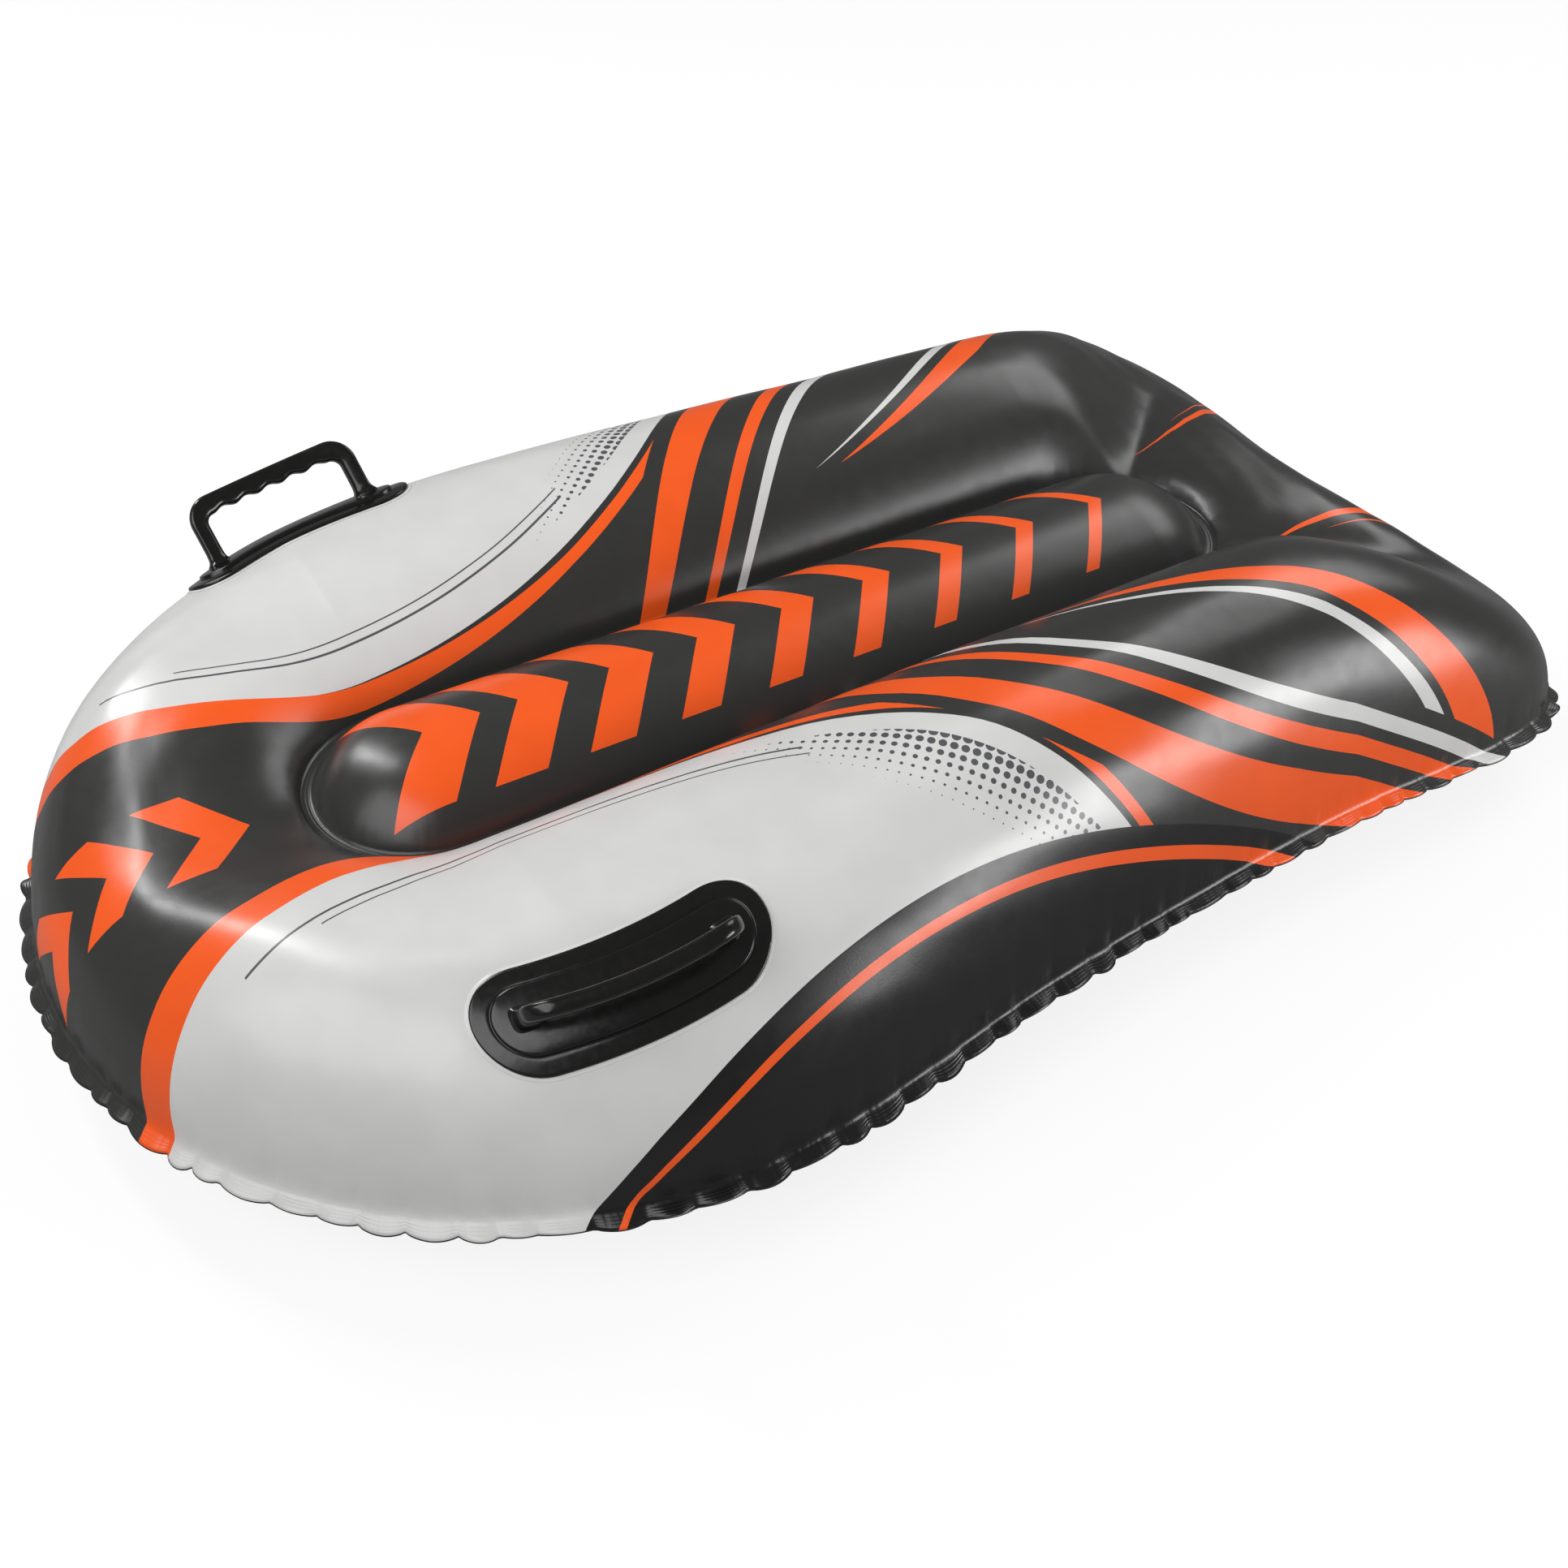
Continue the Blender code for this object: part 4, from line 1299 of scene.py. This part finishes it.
@dataclass(frozen=True)
class Skin:
    """The finished top sheet's outer face, which the mouldings are laid on."""

    tree: BVHTree
    start: float = 60 * MM
    samples: tuple[int, int] = (21, 13)
    terms: int = 6

    @classmethod
    def over(cls, mesh: bpy.types.Mesh) -> "Skin":
        """Return the skin that a mesh forms."""
        faces = [list(face.vertices) for face in mesh.polygons]
        return cls(BVHTree.FromPolygons([vertex.co for vertex in mesh.vertices], faces))

    def heights(self, place: Matrix, points: np.ndarray) -> np.ndarray:
        """Measure the skin under a frame.

        Args:
            place: A frame with Z out of the skin.
            points: Places on its XY plane, one a row.

        Returns:
            The skin's height over that plane at each place.
        """
        down = -(place.to_3x3() @ Vector((0, 0, 1)))
        above = (place @ Vector((x, y, self.start)) for x, y in points)
        return np.array([self.start - self.tree.ray_cast(point, down)[3] for point in above])

    def fitted(self, place: Matrix, half: Pair) -> Height:
        """Fit an even surface to the skin under a frame, as a stiff moulding is formed.

        Args:
            place: A frame with Z out of the skin.
            half: Half the length and half the width of the fitted field.

        Returns:
            A function that gives the surface's height at places on the frame's XY plane.
        """
        grid = np.meshgrid(*(np.linspace(-1, 1, count) for count in self.samples))
        x, y = (side.ravel() for side in grid)
        measured = self.heights(place, np.stack((x * half[0], y * half[1]), axis=1))

        def powers(across: np.ndarray, up: np.ndarray) -> np.ndarray:
            """Return the polynomial's terms at places on the field, as shares of its halves."""
            pairs = ((i, j) for i in range(self.terms) for j in range(self.terms - i))
            return np.stack([across**i * up**j for i, j in pairs], axis=-1)

        weights = np.linalg.lstsq(powers(x, y), measured, rcond=None)[0]

        def surface(points: np.ndarray) -> np.ndarray:
            """Return the surface's height at places."""
            return powers(points[..., 0] / half[0], points[..., 1] / half[1]) @ weights

        return surface


def stack_mesh(name: str, rings: np.ndarray, place: Matrix) -> bpy.types.Mesh:
    """Join a stack of closed rings into one solid, closed at both ends by strips across the ring.

    Args:
        name: The mesh's name.
        rings: The rings' points, by ring and by point, each ring even about its first gap.
        place: The frame that the points are given in.

    Returns:
        The mesh, in the sled's frame.
    """
    count, around = rings.shape[:2]
    numbers = np.arange(count * around).reshape(count, around)
    beside = np.roll(numbers, -1, axis=1)
    corners = (numbers[:-1], beside[:-1], beside[1:], numbers[1:])
    faces = np.stack(corners, axis=-1).reshape(-1, 4).tolist()
    for ring in (numbers[0][::-1], numbers[-1]):
        for index in range(around // 2 - 1):
            steps = (index, index + 1, around - 2 - index, around - 1 - index)
            faces.append([int(ring[step]) for step in steps])
    mesh = bpy.data.meshes.new(name)
    mesh.from_pydata(rings.reshape(-1, 3).tolist(), [], faces)
    mesh.transform(place)
    return mesh


def joined(name: str, parts: Sequence[bpy.types.Mesh]) -> bpy.types.Mesh:
    """Put several closed meshes into one, with their faces turned outward.

    Args:
        name: The new mesh's name.
        parts: The meshes, which are used up.

    Returns:
        The new mesh, smooth up to the sharp angle.
    """
    mesh = bpy.data.meshes.new(name)
    with edited(mesh) as shape:
        for part in parts:
            shape.from_mesh(part)
            bpy.data.meshes.remove(part)
        bmesh.ops.recalc_face_normals(shape, faces=shape.faces)
    mesh.shade_smooth()
    mesh.set_sharp_from_angle(angle=SHARP_ANGLE)
    return mesh


@dataclass(frozen=True)
class Block:
    """A small block with rounded edges: two of its corners and the edges' radius, in mm."""

    low: Triple
    high: Triple
    rounding: float
    bevel_steps: int = 3

    def mesh(self, place: Matrix) -> bpy.types.Mesh:
        """Make the block.

        Args:
            place: The frame that its corners are given in.

        Returns:
            The mesh, in the sled's frame.
        """
        low, high = (Vector([part * MM for part in corner]) for corner in (self.low, self.high))
        cube = Matrix.Translation((high + low) / 2) @ Matrix.Diagonal((*(high - low), 1))
        bevel = {"offset": self.rounding * MM, "segments": self.bevel_steps, "profile": 0.5}
        mesh = bpy.data.meshes.new("block")
        with edited(mesh) as shape:
            bmesh.ops.create_cube(shape, size=1, matrix=cube)
            bmesh.ops.bevel(shape, geom=shape.edges[:], affect="EDGES", **bevel)
        mesh.transform(place)
        return mesh


@dataclass(frozen=True)
class GrabHandle:
    """One glossy moulding on its weld patch: a bowed plate with a raised step, and a grip on feet.

    A row of a section says in mm how far the ring lies inside the outline and how high it lies.
    """

    outline: Outline
    side: Side
    from_nose: float = 0.319
    rise: float = 0.725
    yaw: float = math.radians(3)
    lean: float = math.radians(13)
    plate: Pair = (0.206, 0.076)
    step: Pair = (0.181, 0.049)
    bow: float = 0.015
    plate_top: float = 3.4 * MM
    step_top: float = 5.6 * MM
    patch_border: float = 0.0025
    fit_margin: Pair = (4 * MM, 6 * MM)
    grip_length: float = 0.152
    grip_height: float = 0.053
    grip_bar: float = 0.0170
    grip_leg: float = 0.0140
    grip_foot: float = -0.008
    grip_thickness: float = 0.0125
    outer_radius: float = 0.021
    inner_radius: float = 0.008
    finger_pitch: float = 0.0216
    finger_depth: float = 0.0028
    finger_count: int = 5
    flare: float = 0.5
    flare_reach: float = 2.4 * MM
    foot_lift: float = 0.8 * MM
    squareness: float = 3.4
    end_steps: int = 28
    side_steps: int = 40
    leg_steps: int = 22
    bend_steps: int = 17
    bar_steps: int = 64
    grip_around: int = 32
    patch_section: tuple[Pair, ...] = (
        (8, 0.12), (0.2, 0.12), (0, 0.3), (0, 0.55), (0.25, 0.75), (2.5, 0.8), (8, 0.8)
    )
    rim_section: tuple[Pair, ...] = (
        (6, 0.95), (0.3, 0.95), (0, 1.3), (0, 2.6), (0.3, 3.1), (1.0, 3.38), (2.2, 3.42), (6, 3.4),
        (9.5, 3.4),
    )
    step_section: tuple[Pair, ...] = (
        (-1.5, 3.38), (-1.0, 3.2), (-0.6, 3.02), (-0.2, 3.1), (0, 3.6), (0.15, 4.6), (0.5, 5.2),
        (1.1, 5.5), (2.2, 5.6), (6, 5.62), (12, 5.66), (18, 5.7), (22.5, 5.72),
    )

    def frame(self) -> Matrix:
        """Place the plate.

        Returns:
            Its frame, with X round the tube, Y up to the crest and Z out of the skin.
        """
        seam, lengths = self.outline.half_seam()
        along = self.from_nose - self.outline.seam_length / 2
        run = float(np.interp(along, seam[:, 1], lengths))
        if self.side is Side.RIGHT:
            run = 2 * lengths[-1] - run
        turn = Matrix.Rotation(self.yaw * self.side.value, 4, "Z")
        return self.outline.surface_frame(run, self.rise) @ turn

    def bowed(self, along: np.ndarray) -> np.ndarray:
        """Return how far the whole moulding bends aside at distances along it."""
        return self.bow * ((2 * along / self.plate[0]) ** 2 - 0.5)

    def ring(self, length: float, width: float) -> np.ndarray:
        """Draw a bowed bar with round ends.

        Args:
            length: Its length.
            width: Its width.

        Returns:
            The points round it, even about its long axis.
        """
        straight = (length - width) / 2
        angles = (np.arange(self.end_steps) + 0.5) / self.end_steps * np.pi - np.pi / 2
        across = width / 2 * np.sin(angles)
        ends = np.stack((straight + width / 2 * np.cos(angles), across), axis=1)
        way = np.linspace(1, -1, self.side_steps) * straight
        sides = np.stack((way, np.full(self.side_steps, width / 2)), axis=1)
        half = np.vstack((ends, sides))
        points = np.roll(np.vstack((half, -half)), -self.end_steps // 2, axis=0)
        points[:, 1] += self.bowed(points[:, 0])
        return points

    def laid(self, size: Pair, section: Sequence[Pair], under: Height) -> list[np.ndarray]:
        """Lay rings on a surface.

        Args:
            size: The length and width of the rings' outline.
            section: For each ring how far it lies inside the outline and how high, in mm.
            under: The surface's height at places on the frame's XY plane.

        Returns:
            The rings' points in the frame.
        """
        rings = []
        for inset, lift in section:
            flat = self.ring(size[0] - 2 * (inset * MM), size[1] - 2 * (inset * MM))
            rings.append(np.column_stack((flat, under(flat) + lift * MM)))
        return rings

    def patch_mesh(self, skin: Skin, place: Matrix) -> bpy.types.Mesh:
        """Make the thin weld patch, which follows the skin.

        Args:
            skin: The skin.
            place: The plate's frame.

        Returns:
            The mesh.
        """
        size = (self.plate[0] + 2 * self.patch_border, self.plate[1] + 2 * self.patch_border)
        rings = self.laid(size, self.patch_section, lambda flat: skin.heights(place, flat))
        return joined("patch", [stack_mesh("patch", np.array(rings), place)])

    def plate_mesh(self, surface: Height, place: Matrix) -> bpy.types.Mesh:
        """Make the plate with its rim, groove and raised step.

        Args:
            surface: The height of the surface that the plate is formed to.
            place: The plate's frame.

        Returns:
            The mesh.
        """
        rings = self.laid(self.plate, self.rim_section, surface)
        rings += self.laid(self.step, self.step_section, surface)
        return stack_mesh("plate", np.array(rings), place)

    def grip_path(self) -> tuple[np.ndarray, np.ndarray]:
        """Draw the grip seen from its side.

        Returns:
            The matching points of its outer and inner outlines, from foot to foot.
        """
        half = self.grip_length / 2
        inner_x = half - self.grip_leg
        inner_y = self.grip_height - self.grip_bar
        outer_y = self.grip_height - self.outer_radius
        corner = (inner_x - self.inner_radius, inner_y - self.inner_radius)
        leg = np.linspace(0, 1, self.leg_steps)[:, None]
        foot = self.grip_foot
        outer = [np.hstack((0 * leg + half, foot + (outer_y - foot) * leg))]
        inner = [np.hstack((0 * leg + inner_x, foot + (corner[1] - foot) * leg))]
        angle = np.radians(np.linspace(0, 90, self.bend_steps)[1:])[:, None]
        bend = np.hstack((np.cos(angle), np.sin(angle)))
        outer.append((half - self.outer_radius, outer_y) + self.outer_radius * bend)
        inner.append(corner + self.inner_radius * bend)
        way = np.linspace(1, 0, self.bar_steps)[1:, None]
        across = corner[0] * way
        turns = across / self.finger_pitch + (self.finger_count - 1) / 2
        groove = np.cos(np.pi * turns) ** 2
        groove *= np.abs(across) < self.finger_count * self.finger_pitch / 2
        outer.append(np.hstack(((half - self.outer_radius) * way, 0 * way + self.grip_height)))
        inner.append(np.hstack((across, inner_y + self.finger_depth * groove)))
        sides = [np.vstack(parts) for parts in (outer, inner)]
        return tuple(np.vstack((side, side[-2::-1] * (-1, 1))) for side in sides)

    def grip_mesh(self, surface: Height, place: Matrix) -> bpy.types.Mesh:
        """Sweep the grip, with flared feet that end inside the plate.

        Args:
            surface: The height of the surface that the plate is formed to.
            place: The plate's frame.

        Returns:
            The mesh.
        """
        outer, inner = self.grip_path()
        angles = (np.arange(self.grip_around) + 0.5) / self.grip_around * 2 * np.pi
        power = 2 / self.squareness
        wide, thick = (
            np.sign(part) * np.abs(part) ** power for part in (np.cos(angles), np.sin(angles))
        )
        middle, arm = (outer + inner) / 2, (outer - inner) / 2
        upright = Matrix.Rotation(math.radians(90) + self.lean, 4, "X")
        stand = Matrix.Translation((0, 0, self.plate_top)) @ upright
        turn, shift = np.array(stand.to_3x3()), np.array(stand.translation)
        centre = np.column_stack((middle, np.zeros(len(middle)))) @ turn.T + shift
        centre[:, 1] += self.bowed(centre[:, 0])
        above = centre[:, 2] - surface(centre[:, :2]) - self.step_top
        grow = 1 + self.flare * np.exp(-np.clip(above, 0, None) / self.flare_reach)
        flat = middle[:, None] + arm[:, None] * wide[None, :, None] * grow[:, None, None]
        depth = self.grip_thickness / 2 * thick[None, :] * grow[:, None]
        rings = np.concatenate((flat, depth[..., None]), axis=2) @ turn.T + shift
        rings[..., 1] += self.bowed(rings[..., 0])
        floor = surface(rings[..., :2]) + self.plate_top + self.foot_lift
        rings[..., 2] = np.maximum(rings[..., 2], floor)
        return stack_mesh("grip", rings, place)

    def build(self, skin: Skin) -> None:
        """Make and dress the patch and the moulding.

        Args:
            skin: The skin that they lie on.
        """
        place = self.frame()
        field = tuple(side / 2 + margin for side, margin in zip(self.plate, self.fit_margin))
        surface = skin.fitted(place, field)
        word = self.side.name.lower()
        patch = self.patch_mesh(skin, place)
        moulding = joined(
            "moulding", [self.plate_mesh(surface, place), self.grip_mesh(surface, place)]
        )
        PALE_PATCH.put_on(
            new_piece(f"patch_{word}", patch, "sled", "pale_patch", f"handle_patch_{word}")
        )
        GLOSS_MOULDING.put_on(
            new_piece(f"grab_{word}", moulding, "sled", "black_moulding", f"handle_{word}")
        )


@dataclass(frozen=True)
class AirValve:
    """The air valve in the middle of the rear wall, in the CAD model's sizes, with turned edges.

    A row of a profile holds a radius and a height in mm, then 1 where the ring lies on the skin,
    and then 1 where it is ribbed.
    """

    outline: Outline
    rise: float = 0.27
    hole: float = 12.9 * MM
    hole_depth: float = 30 * MM
    fit_half: float = 26 * MM
    around: int = 112
    ribs: int = 28
    rib_depth: float = 0.28 * MM
    base_profile: tuple[Triple, ...] = (
        (24.0, 0.3, 1), (24.0, 0.9, 1), (23.8, 1.3, 1), (23.3, 1.5, 1), (21.5, 1.5, 1),
        (21.2, 1.3, 1), (20.6, 1.25, 1), (20.3, 1.45, 1), (18.5, 1.5, 1), (18.2, 1.3, 1),
        (17.6, 1.25, 1), (17.3, 1.45, 1), (15.0, 1.55, 1), (13.6, 1.9, 0.8), (12.9, 2.5, 0.4),
        (12.5, 3.2, 0), (12.5, 4.1, 0), (12.35, 4.4, 0), (12.0, 4.5, 0), (10.3, 4.5, 0),
        (9.9, 4.4, 0), (9.75, 4.1, 0), (9.75, -11.6, 0), (10.0, -12.0, 0), (12.2, -12.0, 0),
        (12.5, -11.6, 0), (12.5, -2.2, 0), (13.2, -0.4, 0.5), (14.5, 0.3, 1),
    )
    stem_profile: tuple[Pair, ...] = (
        (8.0, 9.0), (8.2, 8.9), (8.25, 8.6), (8.25, 6.7), (8.5, 6.4), (11.6, 6.4), (11.9, 6.25),
        (12.0, 5.9), (12.0, 5.2), (11.85, 4.9), (11.5, 4.8), (9.6, 4.8), (9.35, 4.6), (9.35, -9.8),
        (9.2, -10.2), (8.9, -10.4), (4.7, -10.4), (4.5, -10.2), (4.5, -9.0), (4.7, -8.8),
        (5.6, -8.8), (5.6, 8.4), (5.9, 8.9), (6.1, 9.0),
    )
    strap_profile: tuple[Pair, ...] = (
        (10.75, 7.6), (10.75, 7.0), (10.5, 6.72), (8.8, 6.72), (8.57, 7.0), (8.57, 7.6),
        (8.8, 7.88), (10.5, 7.88),
    )
    cap_profile: tuple[tuple[float, ...], ...] = (
        (0.6, 6.9), (4.5, 6.9), (4.9, 7.0), (5.15, 7.3), (5.2, 7.7), (5.15, 8.6), (5.2, 9.1),
        (5.6, 9.3), (9.9, 9.3), (10.4, 9.4, 0, 1), (10.7, 9.75, 0, 1), (10.75, 10.2, 0, 1),
        (10.75, 11.4, 0, 1), (10.65, 11.9, 0, 1), (10.3, 12.2, 0, 0.5), (9.7, 12.3), (8.3, 12.3),
        (7.9, 12.2), (7.6, 11.95), (7.2, 11.8), (4.0, 11.75), (0.6, 11.75),
    )
    flap_profile: tuple[Pair, ...] = (
        (0.4, -11.5), (6.0, -11.5), (6.2, -11.4), (6.25, -11.1), (6.2, -10.8), (6.0, -10.7),
        (0.4, -10.7),
    )
    strap_strip: Block = Block((-2.5, 9.6, 6.85), (2.5, 15.1, 7.75), 0.3)
    strap_hinge: Block = Block((-2.8, 13.7, 6.7), (2.8, 16.5, 9.0), 0.4)
    cap_lug: Block = Block((-2.5, 7.5, 9.7), (2.5, 16.5, 11.9), 0.5)
    flap_tab: Block = Block((-1.75, 3.1, -11.4), (1.75, 7.8, -10.8), 0.15)

    def frame(self) -> Matrix:
        """Return the valve's frame, with Z out of the skin."""
        return self.outline.surface_frame(self.outline.half_seam()[1][-1], self.rise)

    def turned(
        self, rows: Sequence[Sequence[float]], place: Matrix, under: Height | None = None
    ) -> bpy.types.Mesh:
        """Turn a profile.

        Args:
            rows: The profile's rows.
            place: The valve's frame.
            under: The skin's fitted height, for rings that lie on it.

        Returns:
            The mesh, whose first and last rings are closed.
        """
        angles = (np.arange(self.around) + 0.5) / self.around * 2 * np.pi
        spin = np.stack((np.cos(angles), np.sin(angles)), axis=1)
        rings = []
        for radius, height, *marks in rows:
            ripple = 0 * angles
            if len(marks) > 1:
                ripple = self.rib_depth * marks[1] * (0.5 + 0.5 * np.cos(self.ribs * angles))
            flat = spin * (radius * MM - ripple)[:, None]
            lift = under(flat) * marks[0] if marks and under else 0
            rings.append(np.column_stack((flat, height * MM + lift + 0 * angles)))
        return stack_mesh("turned", np.array(rings), place)

    def pipe(
        self, rows: Sequence[Sequence[float]], place: Matrix, under: Height | None = None
    ) -> bpy.types.Mesh:
        """Turn a closed profile, whose last ring meets its first.

        Args:
            rows: The profile's rows.
            place: The valve's frame.
            under: The skin's fitted height, for rings that lie on it.

        Returns:
            The mesh, without caps.
        """
        mesh = self.turned([*rows, rows[0]], place, under)
        with edited(mesh) as shape:
            shape.faces.ensure_lookup_table()
            caps = shape.faces[len(rows) * self.around :]
            bmesh.ops.delete(shape, geom=caps, context="FACES_ONLY")
            bmesh.ops.remove_doubles(shape, verts=shape.verts, dist=SAME_POINT / 10)
        return mesh

    def open_sheet(self, mesh: bpy.types.Mesh) -> None:
        """Cut the round hole for the neck in the top sheet, and let its edge follow the neck.

        Args:
            mesh: The top sheet's mesh.
        """
        to_valve = self.frame().inverted()

        def beside(vertex: Any) -> float:
            """Return how far a vertex is from the valve's axis, or 1 where it is far along it."""
            local = to_valve @ vertex.co
            return math.hypot(local.x, local.y) if abs(local.z) < self.hole_depth else 1.0

        with edited(mesh) as shape:
            near = {vertex for vertex in shape.verts if beside(vertex) < self.hole}
            faces = [face for face in shape.faces if any(vertex in near for vertex in face.verts)]
            bmesh.ops.delete(shape, geom=faces, context="FACES")
            rims = (edge.verts for edge in shape.edges if edge.is_boundary)
            for vertex in {vertex for rim in rims for vertex in rim}:
                if beside(vertex) < 2 * self.hole:
                    local = to_valve @ vertex.co
                    local.xy *= self.hole / math.hypot(local.x, local.y)
                    vertex.co = self.frame() @ local

    def build(self, skin: Skin) -> None:
        """Make and dress the valve's pieces on a skin.

        Args:
            skin: The skin, from before the hole was cut.
        """
        place = self.frame()
        under = skin.fitted(place, (self.fit_half, self.fit_half))
        base = self.pipe(self.base_profile, place, under)
        stem = self.pipe(self.stem_profile, place)
        strap = self.pipe(self.strap_profile, place)
        cap, flap = (self.turned(rows, place) for rows in (self.cap_profile, self.flap_profile))
        hinge = (self.strap_strip, self.strap_hinge)
        for round_part, blocks, name, body, slot, node, finish in (
            (base, (), "valve_flange_and_neck", "sled", "valve_plastic", "valve_base", SOFT_VINYL),
            (stem, (), "valve_stem", "stem", "valve_plastic", "valve_insert", SOFT_VINYL),
            (strap, hinge, "valve_tether", "stem", "valve_black", "valve_strap", SOFT_BLACK),
            (cap, (self.cap_lug,), "valve_lid", "cap", "valve_black", "valve_cap", SOFT_BLACK),
            (flap, (self.flap_tab,), "valve_check", "flap", "flap_sheet", "valve_flap", FLAP_SHEET),
        ):
            mesh = joined(name, [round_part, *(block.mesh(place) for block in blocks)])
            finish.put_on(new_piece(name, mesh, body, slot, node))


@dataclass(frozen=True)
class Lamp:
    """A soft box: where it stands, what it faces, its size and its power."""

    name: str
    place: Triple
    aim: Triple
    size: Pair
    power: float


@dataclass(frozen=True)
class Studio:
    """The plain pale floor, the soft lamps and the camera."""

    camera_place: Triple = (1.0917, -0.6530, 1.0846)
    camera_aim: Triple = (0.0914, -0.0525, 0.1)
    focal_pixels: float = 2353.0
    floor_side: float = 30.0
    lamps: tuple[Lamp, ...] = (
        Lamp("far_strip", (-2.1, -0.9, 2.0), (0, -0.4, 0.2), (0.35, 2.0), 34.0),
        Lamp("nose_box", (0.9, -2.6, 2.8), (0, 0, 0.1), (3.6, 2.8), 88.0),
        Lamp("rear_box", (-0.6, 2.6, 2.4), (0, 0.2, 0.1), (2.4, 1.4), 36.0),
        Lamp("side_box", (2.3, 2.0, 0.8), (0.2, 0.3, 0.1), (1.5, 0.9), 40.0),
    )
    room_light: float = 0.14
    floor_tone: float = 0.30
    seen_tone: float = 0.92
    glow: float = 1.05
    glow_share: float = 0.80

    def facing(self, place: Triple, aim: Triple) -> Matrix:
        """Return the frame of something at a place that looks at an aim, upright."""
        turn = (Vector(aim) - Vector(place)).to_track_quat("-Z", "Y")
        return Matrix.Translation(place) @ turn.to_matrix().to_4x4()

    def add_camera(self) -> None:
        """Set up the camera at the photograph's angle."""
        data = bpy.data.cameras.new("camera")
        data.sensor_width = SENSOR_WIDTH
        data.lens = self.focal_pixels / PICTURE_SIDE * SENSOR_WIDTH
        camera = bpy.data.objects.new("camera", data)
        camera.matrix_world = self.facing(self.camera_place, self.camera_aim)
        bpy.context.scene.collection.objects.link(camera)
        bpy.context.scene.camera = camera

    def add_lamps(self) -> None:
        """Hang the soft boxes."""
        for lamp in self.lamps:
            data = bpy.data.lights.new(lamp.name, "AREA")
            data.shape = "RECTANGLE"
            data.size, data.size_y = lamp.size
            data.energy = lamp.power
            thing = bpy.data.objects.new(lamp.name, data)
            thing.matrix_world = self.facing(lamp.place, lamp.aim)
            thing.visible_camera = False
            bpy.context.scene.collection.objects.link(thing)

    def add_world(self) -> None:
        """Fill the room with even light, and show white behind everything."""
        world = bpy.data.worlds.new("studio")
        bpy.context.scene.world = world
        world.use_nodes = True
        tree = world.node_tree
        tree.nodes.clear()
        seen = add_node(tree, "LightPath").outputs["Is Camera Ray"]
        links = {"Value": seen, "To Min": self.room_light, "To Max": 1.0}
        level = add_node(tree, "MapRange", links).outputs["Result"]
        light = add_node(tree, "Background", {"Color": WHITE, "Strength": level}).outputs[0]
        add_node(tree, "OutputWorld", {"Surface": light})

    def add_floor(self) -> None:
        """Lay the floor, which the camera sees almost white, with the sled's soft shadow."""
        half = self.floor_side / 2
        corners = [(-half, -half, 0), (half, -half, 0), (half, half, 0), (-half, half, 0)]
        mesh = bpy.data.meshes.new("floor")
        mesh.from_pydata(corners, [], [(0, 1, 2, 3)])
        floor = bpy.data.objects.new("floor", mesh)
        bpy.context.scene.collection.objects.link(floor)
        material = bpy.data.materials.new("floor_paper")
        material.use_nodes = True
        tree = material.node_tree
        tree.nodes.clear()
        seen = add_node(tree, "LightPath").outputs["Is Camera Ray"]
        links = {"Value": seen, "To Min": self.floor_tone, "To Max": self.seen_tone}
        tone = add_node(tree, "MapRange", links).outputs["Result"]
        paper = add_node(tree, "BsdfDiffuse", {"Color": tone}).outputs[0]
        glow = add_node(tree, "Emission", {"Color": WHITE, "Strength": self.glow}).outputs[0]
        links = {0: seen, 1: self.glow_share}
        share = add_node(tree, "Math", links, operation="MULTIPLY").outputs[0]
        mixed = add_node(tree, "MixShader", {0: share, 1: paper, 2: glow}).outputs[0]
        add_node(tree, "OutputMaterial", {"Surface": mixed})
        mesh.materials.append(material)

    def build(self) -> None:
        """Set up the whole studio."""
        self.add_camera()
        self.add_lamps()
        self.add_world()
        self.add_floor()
        bpy.context.scene.view_settings.view_transform = "Standard"


def main() -> None:
    """Build every sub-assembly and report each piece."""
    logging.basicConfig(level=logging.INFO, format="%(name)s: %(message)s")
    Studio().build()
    outline = Outline()
    sheets = Sheets(outline)
    top = sheets.build()[0]
    skin = Skin.over(top.data)
    valve = AirValve(outline)
    valve.open_sheet(top.data)
    for side in Side:
        GrabHandle(outline, side).build(skin)
    valve.build(skin)
    sheets.dress_web()


if __name__ == "__main__":
    main()
